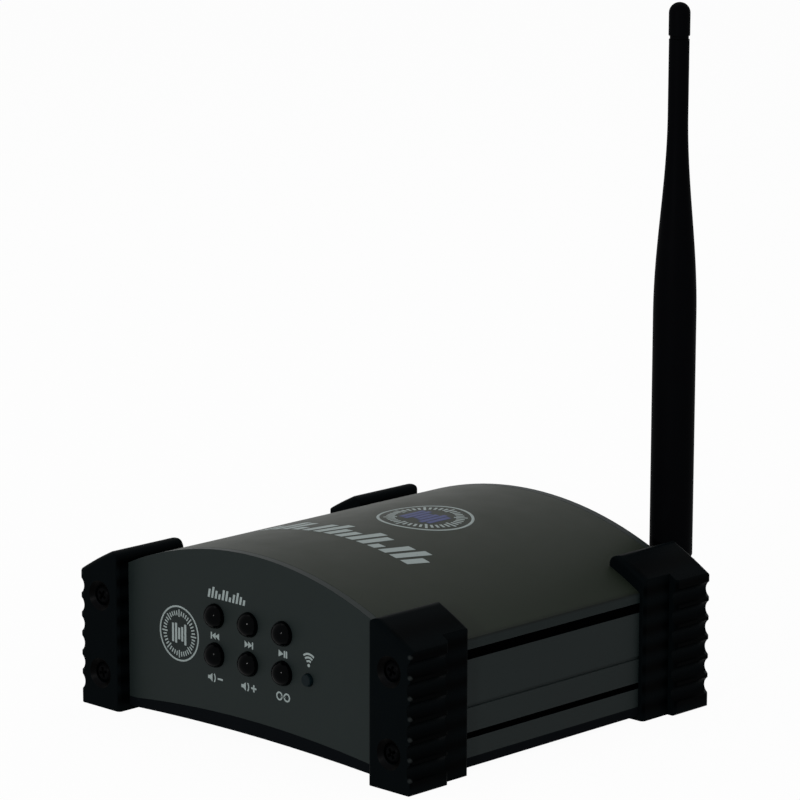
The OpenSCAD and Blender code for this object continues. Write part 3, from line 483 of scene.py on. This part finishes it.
# ---- Corner bumpers ----
# Moulded black rubber with a satin skin, one on each corner: wings lie over the
# end panel and the cover, and a block with round flutes guards the corner.
def moulded(name, colour, grain, rough, gloss, depth, shade=None):
    """Moulded rubber or plastic with a spark-eroded grain; shade may change its tone."""
    finish = Finish(name)
    where = object_place(finish)
    skin = mottle(finish, where, grain, 2.0, 0.55)
    broad = mottle(finish, where, 7.0, 3.0)
    tone = mixed(finish, skin * 0.5 + broad * 0.5, colour, toned(colour, 1.5, 0.0003))
    if shade:
        tone = shade(finish, where, tone)
    return shader(finish, Base_Color=tone,
                  Roughness=rough + (skin - 0.5) * 0.14 + (broad - 0.5) * 0.12,
                  Specular_IOR_Level=gloss, Normal=bumped(finish, skin, 0.3, depth))


flute_first, flute_pitch = 6.8, 6.05         # mm: height of the lowest flute, flute to flute
flute_shade, low_at, ridge_at = 0.84, 0.06, 0.13     # share of painted shade black, and shares of the pitch
corner_in_x, corner_in_y, glint_reach = 0.7, 0.5, 0.9  # mm: where the painted glints sit on the ridges' corners, and how far they reach
painted_glint_grey = (0.040, 0.046, 0.046, 1)
flute_shade_black = (0.0001, 0.0001, 0.0001, 1)
outer_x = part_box("bumper_front_right")[1].x / mm
front_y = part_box("bumper_front_right")[0].y / mm
rear_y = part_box("bumper_rear_right")[1].y / mm


def fluted(finish, where, tone):
    """Painted shade lies low in each flute, and painted glints light the ridges' front corners."""
    x, y, z = finish.apart(where)
    phase = (z - flute_first) / flute_pitch
    outside = ((abs(facing_of(finish)[0]) - 0.3) * 4.0).share()
    low = flute_shade / 2 - ((phase - low_at) * math.tau).cos() * (flute_shade / 2)
    # painted shade low in each flute, on the faces that look sideways
    tone = mixed(finish, low * outside, tone, flute_shade_black)
    off_x = abs(x) - (outer_x - corner_in_x)
    off_y = abs(y - (front_y + rear_y) / 2) - ((rear_y - front_y) / 2 - corner_in_y)
    off_z = ((phase - ridge_at) % 1.0 - 0.5) * flute_pitch
    away = (off_x * off_x + off_y * off_y + off_z * off_z) ** 0.5
    # painted glint at each ridge's front corner
    return mixed(finish, (1.0 - away / glint_reach).at_least(0.0) * 0.9, tone, painted_glint_grey)


# The bumper rubber carries the painted flute shade and the painted corner glints.
rubber = moulded("black_bumper_rubber", (0.0012, 0.0020, 0.0024, 1), 0.22, 0.40, 0.005, 0.02,
                 fluted)
rim_near, rim_far = 3.3, 4.65                # mm from a screw's axis: the recess's sloped mouth


def mouth_lit(finish, where, tone):
    """Painted highlight on the low side of a recess's mouth at its inner edge, and painted shade
    on the rest of it.
    """
    facing = facing_of(finish)
    low_side = (facing[0] * 0.9 + facing[2] * 1.2).share()
    lit = low_side ** 3.0 * (1.0 - abs(facing[1])).at_least(0.0)
    return mixed(finish, lit, shade_black, tone)


# A lighter rubber for the recess mouths that carries the painted highlight and painted shade.
recess_painted_light = moulded("recess_painted_light_rubber", (0.011, 0.0115, 0.0135, 1), 0.22, 0.35, 0.01,
                     0.02, mouth_lit)
screws_low, screws_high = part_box("bumper_screws")
head_r, head_out = 2.9 * mm, 2.0 * mm
screw_xs = (screws_low.x + head_r, screws_high.x - head_r)
screw_zs = (screws_low.z + head_r, screws_high.z - head_r)


def on_mouth(c):
    return any(rim_near < math.hypot(c.x - x, c.z - z) / mm < rim_far
               for x in screw_xs for z in screw_zs)


for end in ("front", "rear"):
    for side in ("left", "right"):
        bumper = made_over(f"bumper_{end}_{side}", f"bumper_{end}_{side}_rubber", 0.6, rubber,
                           "housing", "bumper_rubber", segments=3)
        # each recess's mouth takes the painted highlight and painted shade
        second_coat(bumper, recess_painted_light, on_mouth)

# ---- Push buttons ----
# Six domed black buttons, polished plastic; each has a collar behind the panel
# and a stem that pushes the tact switch's plunger on the board behind.
keys = ("previous", "next", "play", "volume_down", "volume_up", "pair")
gloss_black = moulded("gloss_black_plastic", (0.0003, 0.0005, 0.0007, 1), 1.4, 0.14, 0.024,
                      0.001)
for key in keys:
    made_over(f"{key}_button", f"{key}_button_cap", 0.12, gloss_black, f"{key}_key",
              "button_black")

# ---- Antenna ----
# A whip in a thick satin-black sleeve that thins along a cosine curve to a capped
# tip; it tilts on a steel pin in a swivel, which turns in a sleeve on a socket.
class Pattern(Nodes):
    """A Geometry Nodes tree with named sizes; run() makes a plain mesh of it."""

    def __init__(self, name, **sizes):
        self.tree = bpy.data.node_groups.new(name, "GeometryNodeTree")
        self.sizes, self.ids = sizes, {}
        board = self.tree.interface
        board.new_socket(name="Geometry", in_out="INPUT", socket_type="NodeSocketGeometry")
        board.new_socket(name="Geometry", in_out="OUTPUT", socket_type="NodeSocketGeometry")
        for size, value in sizes.items():
            kind = "NodeSocketInt" if isinstance(value, int) else "NodeSocketFloat"
            made = board.new_socket(name=size, in_out="INPUT", socket_type=kind)
            self.ids[size] = made.identifier
        made = board.new_socket(name="finish", in_out="INPUT", socket_type="NodeSocketMaterial")
        self.ids["finish"] = made.identifier
        names = ("Geometry", *self.ids)
        self.given = dict(zip(names, self.node("NodeGroupInput", None, None, names)))

    def size(self, name):
        return self.given[name]

    def vector(self, x=0.0, y=0.0, z=0.0):
        return self.node("ShaderNodeCombineXYZ", None, {0: x, 1: y, 2: z})

    def position(self):
        return self.apart(self.node("GeometryNodeInputPosition"))

    def placed(self, geometry, position):
        """Puts each point of the geometry at a position worked out from its own."""
        return self.node("GeometryNodeSetPosition", None,
                         {"Geometry": geometry, "Position": position})

    def moved(self, geometry, place, turn=(0, 0, 0)):
        return self.node("GeometryNodeTransform", None,
                         {"Geometry": geometry, "Translation": place, "Rotation": turn})

    def rod(self, sides, radius, depth, rings=1):
        return self.node("GeometryNodeMeshCylinder", None,
                         {"Vertices": sides, "Side Segments": rings, "Radius": radius,
                          "Depth": depth})

    def block(self, x, y, z):
        return self.node("GeometryNodeMeshCube", None, {"Size": self.vector(x, y, z)})

    def joined(self, *parts):
        return self.node("GeometryNodeJoinGeometry", None, {0: parts})

    def cut(self, geometry, cutter):
        return self.node("GeometryNodeMeshBoolean", {"operation": "DIFFERENCE"},
                         {0: geometry, 1: cutter})

    def repeated(self, points, instance, **sockets):
        return self.node("GeometryNodeInstanceOnPoints", None,
                         {"Points": points, "Instance": instance, **sockets})

    def close(self, geometry):
        real = self.node("GeometryNodeRealizeInstances", None, {0: geometry})
        done = self.node("GeometryNodeSetMaterial", None,
                         {0: real, "Material": self.size("finish")})
        self.node("NodeGroupOutput", None, {0: done}, None)

    def run(self, name, finish, source=None, **sizes):
        piece = mesh_object(name, source or bpy.data.meshes.new(name))
        maker = piece.modifiers.new(name, "NODES")
        maker.node_group = self.tree
        for size, value in {**self.sizes, **sizes}.items():
            maker[self.ids[size]] = value
        maker[self.ids["finish"]] = finish
        return coat_all(as_plain_mesh(piece), finish)


whip = Pattern("flared_whip", foot_width=13.4 * mm, tip_width=6.3 * mm, foot=5.5 * mm,
               tip=167.9 * mm, flare_from=83.0 * mm, flare_to=145.0 * mm, chamfer=0.8 * mm,
               bore=3.7 * mm, bore_from=7.5 * mm, ear_width=9.8 * mm, ear_thickness=3.1 * mm,
               ear_middle=4.15 * mm, pin_width=2.5 * mm, sides=64, rings=90)
foot, tip = whip.size("foot"), whip.size("tip")
x, y, z = whip.position()
flared = (z - whip.size("flare_from")) / (whip.size("flare_to") - whip.size("flare_from"))
slim = whip.size("tip_width") / whip.size("foot_width")
narrow = slim + (1.0 - slim) * ((flared.share() * math.pi).cos() * 0.5 + 0.5)
foot_r = whip.size("foot_width") / 2
narrow = narrow - (foot + whip.size("chamfer") - z).at_least(0.0) / foot_r
shaft = whip.rod(whip.size("sides"), foot_r, tip - foot, whip.size("rings"))
shaft = whip.moved(shaft, whip.vector(0, 0, (foot + tip) / 2))
shaft = whip.placed(shaft, whip.vector(x * narrow, y * narrow, z))
bore = whip.moved(whip.rod(24, whip.size("bore") / 2, tip),
                  whip.vector(0, 0, whip.size("bore_from") + tip / 2))
hinge_way = (0, math.pi / 2, 0)              # turns a cylinder onto the hinge's axis
ear = whip.moved(whip.rod(48, whip.size("ear_width") / 2, whip.size("ear_thickness")),
                 (0, 0, 0), hinge_way)
raised = (z + foot * (z > 0.05 * mm)).at_most(foot + 0.1 * mm)
ear = whip.placed(ear, whip.vector(x, y, raised))
pin_hole = whip.rod(32, whip.size("pin_width") / 2, whip.size("ear_width"))
ear = whip.cut(ear, whip.moved(pin_hole, (0, 0, 0), hinge_way))
whip.close(whip.joined(whip.cut(shaft, bore),
                       whip.moved(ear, whip.vector(whip.size("ear_middle"), 0, 0)),
                       whip.moved(ear, whip.vector(-1.0 * whip.size("ear_middle"), 0, 0))))

whip_plastic = moulded("satin_black_antenna", (0.0014, 0.0015, 0.0019, 1), 0.3, 0.45, 0.004,
                       0.015)
whip_sleeve = break_edges(whip.run("antenna_whip_sleeve", whip_plastic), 0.3 * mm)
hinge = sum(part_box("antenna_hinge_pin"), Vector()) / 2
whip_sleeve.data.transform(Matrix.Translation(hinge))
fasten(whip_sleeve, whip_plastic, "whip", "antenna_black", "antenna_whip")
for node, name, width, body in (("antenna_cap", "antenna_cap_tip", 0.2, "whip"),
                                ("antenna_swivel", "antenna_swivel_knuckle", 0.2, "swivel"),
                                ("antenna_sleeve", "antenna_sleeve_collar", 0.25, "housing")):
    made_over(node, name, width, whip_plastic, body, "antenna_black")

# ---- Screws ----
# Cross-headed steel screws: two black ones hold each bumper and its end panel to
# the rails, bright ones close the base from below and hold the button board.
screw = Pattern("cross_headed_screw", head_width=5.8 * mm, head_height=2.0 * mm,
                shank_width=2.6 * mm, shank_length=12.0 * mm, cross_width=0.93 * mm,
                cross_length=3.36 * mm, sides=40)
head_height = screw.size("head_height")
head = screw.rod(screw.size("sides"), screw.size("head_width") / 2, head_height, 8)
x, y, z = screw.position()
domed = ((z + head_height * 0.05) / (head_height * 0.55)).at_least(0.0)
narrow = 1.0 - 0.28 * domed ** 2.2
head = screw.placed(head, screw.vector(x * narrow, y * narrow, z))
head = screw.moved(head, screw.vector(0, 0, head_height / 2))
cross = (screw.size("cross_length"), screw.size("cross_width"))
for arm in (cross, cross[::-1]):
    arm = screw.moved(screw.block(*arm, head_height * 1.2), screw.vector(0, 0, head_height))
    head = screw.cut(head, arm)
shank_length = screw.size("shank_length")
shank = screw.moved(screw.rod(24, screw.size("shank_width") / 2, shank_length),
                    screw.vector(0, 0, shank_length * -0.5))
turn = screw.node("GeometryNodeInputNamedAttribute", {"data_type": "FLOAT_VECTOR"},
                  {"Name": "turn"})
screw.close(screw.repeated(screw.size("Geometry"), screw.joined(head, shank), Rotation=turn))


def screw_places(name, places):
    """Points with a turn each, as (place, turn in degrees about X, Y, Z)."""
    mesh = bpy.data.meshes.new(name)
    mesh.from_pydata([place for place, _ in places], [], [])
    turns = mesh.attributes.new("turn", "FLOAT_VECTOR", "POINT")
    turns.data.foreach_set("vector", [math.radians(a) for _, turn in places for a in turn])
    return mesh


def metal(name, colour, rough, stretch=(1, 1, 1)):
    """Machined or plated metal: fine streaks in its gloss, faint tarnish."""
    finish = Finish(name)
    streak = mottle(finish, object_place(finish, stretch), 0.4, 3.0, 0.6)
    tarnish = mottle(finish, object_place(finish), 3.5)
    tone = mixed(finish, tarnish * 0.6 + streak * 0.3, colour, toned(colour, 0.72))
    return shader(finish, Base_Color=tone, Roughness=rough + (streak - 0.5) * 0.2,
                  Metallic=1.0, Normal=bumped(finish, streak, 0.3, 0.004))


black_steel = moulded("black_oxide_steel", (0.0008, 0.0009, 0.0011, 1), 0.4, 0.35, 0.008,
                      0.004)
bright_steel = metal("bright_zinc_steel", (0.42, 0.43, 0.45, 1), 0.3)
spins = iter([12, 57, 33, 71, 24, 49, 5, 66])        # degrees that each cross ended up at
places = []
for end, y in ((1, screws_low.y + head_out), (-1, screws_high.y - head_out)):
    for x in screw_xs:
        for z in screw_zs:
            places.append(((x, y, z), (90 * end, -end * next(spins), 0)))
bumper_screws = screw.run("bumper_screw_set", black_steel,
                          screw_places("bumper_screw_places", places))
shade_smooth(fasten(bumper_screws, black_steel, "housing", "black_steel", "bumper_screws"))
paint_node("base_screws", bright_steel)
paint_node("board_screws", bright_steel)

# ---- Status lamp ----
# A small round diode in a blue-green tinted case, pushed through the front
# panel from behind and soldered to the button board.
lamp_tint = (0.0017, 0.0045, 0.0056, 1)
lamp_case = Finish("tinted_lamp_case")
depth = mottle(lamp_case, object_place(lamp_case), 1.2)
lamp_case = shader(lamp_case, Base_Color=mixed(lamp_case, depth, lamp_tint, toned(lamp_tint, 2.2)),
                   Roughness=0.15 + (depth - 0.5) * 0.05, Specular_IOR_Level=0.04,
                   Coat_Weight=0.03, Coat_Roughness=0.05)
made_over("status_lamp", "status_lamp_lens", 0.1, lamp_case, "housing", "lamp_lens")

# ---- Boards and what stands on them ----
# Fibreglass boards in green and blue lacquer with tracks under it; line
# transformers, capacitors, chips, a finned regulator and a shielded radio.
def circuit_board(name, lacquer, track):
    """Lacquer over copper tracks and the weave of the glass."""
    finish = Finish(name)
    where = object_place(finish)
    tracks = finish.node("ShaderNodeTexBrick", {"offset": 0.35},
                         {"Vector": where, "Scale": 1.0, "Mortar Size": 0.09,
                          "Brick Width": 2.6, "Row Height": 1.1}, 1)
    weave = mottle(finish, where, 0.5)
    tone = mixed(finish, tracks * 0.8 + weave * 0.2, lacquer, track)
    return shader(finish, Base_Color=tone, Roughness=0.32 + weave * 0.1,
                  Normal=bumped(finish, tracks, 0.2, 0.03))


def moulding(name, colour, rough=0.45, gloss=0.4):
    return moulded(name, colour, 0.3, rough, gloss, 0.01)


drawn = (1, 1, 0.1)                          # streaks run along Z
green_board = circuit_board("green_lacquer_board", (0.012, 0.11, 0.035, 1), (0.03, 0.22, 0.07, 1))
blue_board = circuit_board("blue_lacquer_board", (0.010, 0.035, 0.16, 1), (0.03, 0.09, 0.30, 1))
chip_black = moulding("chip_epoxy", (0.010, 0.010, 0.011, 1))
tin = metal("tinned_shield", (0.62, 0.62, 0.60, 1), 0.34)
aluminium = metal("cast_aluminium", (0.50, 0.51, 0.52, 1), 0.4, drawn)
brass = metal("turned_brass", (0.62, 0.44, 0.17, 1), 0.28)
gold_brass = metal("gilt_brass", (0.72, 0.50, 0.20, 1), 0.22)
copper = metal("drawn_copper", (0.72, 0.30, 0.14, 1), 0.3, drawn)


def banded(name, colour, stripe, pitch, rough, metallic=0.0, axis=2):
    """Turns or cores side by side, a groove at each pitch; the groove's darker stripe colour is
    painted shade.
    """
    finish = Finish(name)
    across = finish.apart(object_place(finish))[axis]
    wave = (across * (math.tau / pitch)).cos() * 0.5 + 0.5
    return shader(finish, Base_Color=mixed(finish, wave, stripe, colour),
                  Roughness=rough + wave * 0.08, Metallic=metallic,
                  Normal=bumped(finish, wave, 0.6, pitch * 0.3))


winding = banded("enamelled_winding", (0.46, 0.19, 0.06, 1), (0.10, 0.035, 0.012, 1),
                 0.4, 0.32, 0.6)
ribbon = banded("grey_ribbon", (0.27, 0.28, 0.30, 1), (0.13, 0.135, 0.15, 1), 1.27, 0.55, axis=0)


def capacitor_finish():
    """Dark blue sleeve with a pale stripe, bare aluminium on top."""
    finish = Finish("capacitor_sleeve")
    facing = facing_of(finish)
    stripe = facing[0] > 0.93
    top = facing[2] > 0.7
    wear = mottle(finish, object_place(finish), 1.1)
    sleeve = mixed(finish, stripe * (0.7 + wear * 0.3), (0.010, 0.016, 0.045, 1),
                   (0.42, 0.44, 0.46, 1))
    return shader(finish, Base_Color=mixed(finish, top, sleeve, (0.55, 0.56, 0.58, 1)),
                  Metallic=top * 0.9, Roughness=0.35 + wear * 0.1)


for node, finish in {
    "main_board": green_board, "button_board": green_board, "radio_board": blue_board,
    "line_transformers": winding, "capacitors": capacitor_finish(), "audio_chips": chip_black,
    "regulator": aluminium, "radio_shield": tin, "board_posts": brass, "link_cable": ribbon,
    "link_headers": moulding("cream_nylon", (0.62, 0.57, 0.44, 1)),
    "tact_switches": moulding("switch_black_nylon", (0.012, 0.012, 0.013, 1)),
    "antenna_core": copper,
    "antenna_lead": moulding("lead_jacket", (0.010, 0.010, 0.010, 1), 0.5),
    "antenna_washer": bright_steel, "antenna_nut": brass, "antenna_socket": gold_brass,
}.items():
    paint_node(node, finish)
plunger_tan = moulding("plunger_tan_nylon", (0.36, 0.28, 0.15, 1))
for key in keys:
    paint_node(f"{key}_plunger", plunger_tan)

# ---- Rear sockets and switch ----
# Two three-pin output sockets in black diecast shells, each held by two screws,
# a low-voltage inlet and a slide switch that stand on the main board's edge.
diecast = moulded("black_diecast", (0.009, 0.0095, 0.0105, 1), 0.35, 0.4, 0.15, 0.01)
insert_black = moulding("socket_insert_nylon", (0.006, 0.006, 0.007, 1), 0.4, 0.3)
silver = metal("silver_contacts", (0.74, 0.73, 0.70, 1), 0.2)
for side in ("left", "right"):
    made_over(f"socket_shell_{side}", f"socket_shell_{side}_diecast", 0.25, diecast,
              "housing", "socket_metal")
    made_over(f"socket_insert_{side}", f"socket_insert_{side}_nylon", 0.15, insert_black,
              "housing", "insert_black")
    made_over(f"socket_pins_{side}", f"socket_pins_{side}_contacts", 0.1, silver,
              "housing", "contact_silver")
paint_node("socket_screws", black_steel)
made_over("power_inlet", "power_inlet_case", 0.2, insert_black, "housing", "switch_black")
made_over("power_inlet_pin", "power_inlet_contact", 0.05, silver, "housing", "contact_silver")
made_over("power_switch", "power_switch_case", 0.15, tin, "housing", "bright_steel")
made_over("power_switch_knob", "power_switch_slider", 0.2, insert_black, "power_knob",
          "switch_black")
made_over("antenna_hinge_pin", "antenna_hinge_rivet", 0.1, bright_steel, "whip", "bright_steel")

# ---- Printing ----
# Screen-printed marks in pale grey ink, a hair proud of the paint: plain symbols
# by the controls, a ringed dial on the front and on top, and level bars.
ink_proud, ink_depth = 0.05 * mm, 0.15 * mm
panel_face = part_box("front_panel")[0].y
rear_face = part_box("rear_panel")[1].y


def ink(name, colour):
    """Ink with pinholes and a slightly uneven coat."""
    finish = Finish(name)
    coat = mottle(finish, object_place(finish), 0.35, 3.0, 0.6)
    return shader(finish, Base_Color=mixed(finish, coat * 1.4 - 0.3, toned(colour, 0.8), colour),
                  Roughness=0.5 + coat * 0.1, Specular_IOR_Level=0.2,
                  Normal=bumped(finish, coat, 0.2, 0.01))


pale_ink = ink("pale_grey_ink", (0.31, 0.365, 0.36, 1))
blue_ink = ink("blue_ink", (0.030, 0.042, 0.150, 1))


def printed(name, outlines, at, face=-1):
    """Flat shapes in millimetres, printed on the front (-1) or rear (1) panel at (x, z)."""
    work = bmesh.new()
    y = (panel_face if face < 0 else rear_face) + face * ink_proud
    down = Vector((0, -face * ink_depth, 0))
    for outline in outlines:
        ring = [work.verts.new((at[0] + u * mm, y, at[1] + v * mm)) for u, v in outline]
        top = work.faces.new(ring)
        made = bmesh.ops.extrude_face_region(work, geom=[top])["geom"]
        sunk = [g for g in made if isinstance(g, bmesh.types.BMVert)]
        bmesh.ops.translate(work, verts=sunk, vec=down)
    bmesh.ops.recalc_face_normals(work, faces=work.faces)
    mesh = bpy.data.meshes.new(name)
    work.to_mesh(mesh)
    work.free()
    return fasten(mesh_object(name, mesh), pale_ink, "housing", "panel_paint")


def bar(x0, x1, y0, y1):
    return [(x0, y0), (x1, y0), (x1, y1), (x0, y1)]


def arrow(x0, x1, half):
    """A solid triangle from its upright side at x0 to its point at x1."""
    return [(x0, -half), (x1, 0), (x0, half)]


def arc(r, angles, centre):
    return [(centre[0] + r * math.cos(a), centre[1] + r * math.sin(a)) for a in angles]


def arc_band(r, width, start, stop, centre=(0, 0), steps=20):
    """A curved stroke, start and stop in degrees."""
    angles = [math.radians(start + (stop - start) * i / steps) for i in range(steps + 1)]
    return arc(r + width / 2, angles, centre) + arc(r - width / 2, angles[::-1], centre)


def disc(r, centre=(0, 0), sides=24):
    return arc(r, [math.tau * i / sides for i in range(sides)], centre)


def hoop(r, width, centre=(0, 0)):
    """A ring in two halves."""
    return [arc_band(r, width, 0, 180, centre), arc_band(r, width, 180, 360, centre)]


mark_h = 1.05
for point, shapes in {
    "previous_mark": [bar(-1.8, -1.25, -mark_h, mark_h), arrow(0.3, -1.3, mark_h),
                      arrow(1.8, 0.2, mark_h)],
    "next_mark": [arrow(-1.8, -0.2, mark_h), arrow(-0.3, 1.3, mark_h),
                  bar(1.25, 1.8, -mark_h, mark_h)],
    "play_mark": [arrow(-1.8, 0.25, mark_h), bar(0.35, 0.95, -mark_h, mark_h),
                  bar(1.2, 1.8, -mark_h, mark_h)],
}.items():
    at = place_at(point, front_panel)
    printed(point, shapes, (at.x, at.z))


def middle_of(node):
    return sum(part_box(node), Vector()) / 2


label_drop, waves_rise, switch_rise, inlet_rise = 7.2 * mm, 6.1 * mm, 5.4 * mm, 8.2 * mm
speaker = [[(-3.3, -0.5), (-2.5, -0.5), (-1.4, -1.3), (-1.4, 1.3), (-2.5, 0.5), (-3.3, 0.5)],
           arc_band(2.0, 0.45, -38, 38, (-2.2, 0))]
minus = bar(0.9, 3.1, -0.28, 0.28)
labels = {
    "volume_down": speaker + [minus],
    "volume_up": speaker + [minus, bar(1.72, 2.28, -1.1, -0.3), bar(1.72, 2.28, 0.3, 1.1)],
    "pair": hoop(1.1, 0.5, (-1.55, 0)) + hoop(1.1, 0.5, (1.55, 0))
            + [bar(-0.9, 0.9, -0.22, 0.22)],
}
for key, shapes in labels.items():
    at = middle_of(f"{key}_button")
    printed(f"{key}_label", shapes, (at.x, at.z - label_drop))

wave_foot = (0, -1.7)
waves = [arc_band(r, 0.6, 52, 128, wave_foot) for r in (1.35, 2.4, 3.45)]
at = middle_of("status_lamp")
printed("lamp_waves", waves + [disc(0.5, wave_foot)], (at.x + 0.2 * mm, at.z + waves_rise))
at = middle_of("power_switch_knob")
printed("switch_marks", [bar(-4.6, -4.2, -1.1, 1.1)] + hoop(1.0, 0.36, (4.4, 0)),
        (at.x + 1.5 * mm, at.z + switch_rise), 1)
at = middle_of("power_inlet_pin")
printed("inlet_marks", [disc(1.1)] + hoop(1.8, 0.35)
        + [bar(-4.6, -2.1, -0.17, 0.17), bar(2.1, 4.6, -0.17, 0.17)],
        (at.x, at.z + inlet_rise), 1)

dial = Pattern("ringed_dial", radius=8.8 * mm, line=0.55 * mm, tick_length=2.3 * mm,
               tick_width=0.42 * mm, tick_middle=6.3 * mm, thickness=ink_depth, ticks=40,
               long_every=5, shorter=0.38)
hoop_path = dial.node("GeometryNodeCurvePrimitiveCircle", {"mode": "RADIUS"},
                      {"Resolution": 96, "Radius": dial.size("radius") - dial.size("line") / 2})
hoop_cut = dial.node("GeometryNodeCurvePrimitiveQuadrilateral", {"mode": "RECTANGLE"},
                     {"Width": dial.size("line"), "Height": dial.size("thickness")})
rim = dial.node("GeometryNodeCurveToMesh", None,
                {"Curve": hoop_path, "Profile Curve": hoop_cut})
stations = dial.node("GeometryNodeMeshCircle", None,
                     {"Vertices": dial.size("ticks"), "Radius": dial.size("tick_middle")})
index = dial.node("GeometryNodeInputIndex")
length = 1.0 - ((index % dial.size("long_every")) > 0.5) * dial.size("shorter")
tick = dial.block(dial.size("tick_length"), dial.size("tick_width"), dial.size("thickness"))
ticks = dial.repeated(stations, tick, Scale=dial.vector(length, 1.0, 1.0),
                      Rotation=dial.vector(0.0, 0.0, index * math.tau / dial.size("ticks")))
dial.close(dial.joined(rim, ticks))

levels = Pattern("level_bars", pitch=4.6 * mm, bar_width=3.0 * mm, tallest=12.4 * mm, least=0.3,
                 swing=0.9, start=0.4, slant=0.25, lift=0.5, thickness=ink_depth, bars=14)
row = levels.node("GeometryNodeMeshLine", None,
                  {"Count": levels.size("bars"),
                   "Offset": levels.vector(levels.size("pitch"), 0.0, 0.0)})
index = levels.node("GeometryNodeInputIndex")
wave = abs((index * levels.size("swing") + levels.size("start")).sin())
tall = (levels.size("least") + (1.0 - levels.size("least")) * wave) * levels.size("tallest")
post = levels.moved(levels.block(1.0, 1.0, 1.0), levels.vector(0.0, levels.size("lift"), 0.0))
posts = levels.repeated(row, post, Scale=levels.vector(levels.size("bar_width"), tall,
                                                       levels.size("thickness")))
posts = levels.node("GeometryNodeRealizeInstances", None, {0: posts})
x, y, z = levels.position()
middle = (levels.size("bars") - 1.0) * levels.size("pitch") * 0.5
levels.close(levels.placed(posts, levels.vector(x - middle + y * levels.size("slant"), y, z)))

crown, arch_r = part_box("top_cover")[1].z, 128.0 * mm


def on_front(piece, at):
    """Stands a flat print up on the front panel."""
    sunk = panel_face - ink_proud + ink_depth / 2
    upright = Matrix.Rotation(math.radians(90), 4, "X")
    piece.data.transform(Matrix.Translation((at[0] * mm, sunk, at[1] * mm)) @ upright)
    return fasten(piece, piece.data.materials[0], "housing", "panel_paint")


def on_cover(piece, at):
    """Lays a flat print on the arched cover."""
    for v in piece.data.vertices:
        x, y = v.co.x + at[0] * mm, v.co.y + at[1] * mm
        skin = crown - arch_r + math.sqrt(arch_r ** 2 - x ** 2)
        v.co = (x, y, skin + v.co.z + ink_proud - ink_depth / 2)
    return fasten(piece, piece.data.materials[0], "housing", "cover_paint")


# Middle of each print on its face, in millimetres.
front_dial, top_dial = (-30.65, 28.25), (2.75, 0.5)
title_row, top_row = (-10.1, 42.0), (-1.0, -36.0)
on_front(dial.run("front_dial", pale_ink, radius=8.6 * mm), front_dial)
on_front(levels.run("front_dial_bars", pale_ink, pitch=1.35 * mm, bar_width=0.85 * mm,
                    tallest=6.4 * mm, least=0.35, start=1.0, slant=0.0, lift=0.0, bars=5),
         front_dial)
on_front(levels.run("front_title_bars", pale_ink, pitch=1.5 * mm, bar_width=0.85 * mm,
                    tallest=3.4 * mm, start=0.7, slant=0.2, bars=11), title_row)
on_cover(dial.run("top_dial", pale_ink, radius=15.0 * mm, line=0.9 * mm, tick_length=4.2 * mm,
                  tick_width=0.8 * mm, tick_middle=10.8 * mm), top_dial)
on_cover(levels.run("top_dial_bars", blue_ink, pitch=2.2 * mm, bar_width=1.7 * mm,
                    tallest=11.5 * mm, least=0.4, start=1.0, slant=0.0, lift=0.0, bars=6),
         top_dial)
on_cover(levels.run("top_level_bars", pale_ink), top_row)

# ---- Image points ----
# How far each named place shows from its pixel in the photograph: the outer
# edges by all vertices that show, a piece by the middle of what shows of it.
shown = [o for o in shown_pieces()]
tree = surface_of(shown)


def seen_pixels(names):
    """Pixels of those vertices of the named pieces that nothing hides."""
    found = []
    for o in shown:
        if names is None or o.name in names:
            for v in o.data.vertices:
                place = o.matrix_world @ v.co
                way = place - camera_at
                hit = tree.ray_cast(camera_at, way.normalized(), way.length - 0.05 * mm)
                if hit[0] is None:
                    found.append(pixel_of(place))
    return found


carrier = {key: [f"{key}_cap"] for key in image_points if key.endswith("_button")}
carrier.update({key: [key] for key in image_points if key.endswith("_mark")},
               status_lamp=["status_lamp_lens"], antenna_cap=["antenna_cap_tip"])
edges = {"left_edge": (min, 0), "right_edge": (max, 0), "top_edge": (min, 1),
         "bottom_edge": (max, 1)}
outer = seen_pixels(None)
for point, (px, py) in image_points.items():
    if point in carrier:
        pixels = seen_pixels(carrier[point])
        spans = [[p[i] for p in pixels] for i in (0, 1)]
        [round((min(q) + max(q)) / 2 - t, 1) for q, t in zip(spans, (px, py))]
    else:
        farthest, axis = edges[point]
        gap = round(farthest(p[axis] for p in outer) - (px, py)[axis], 1)
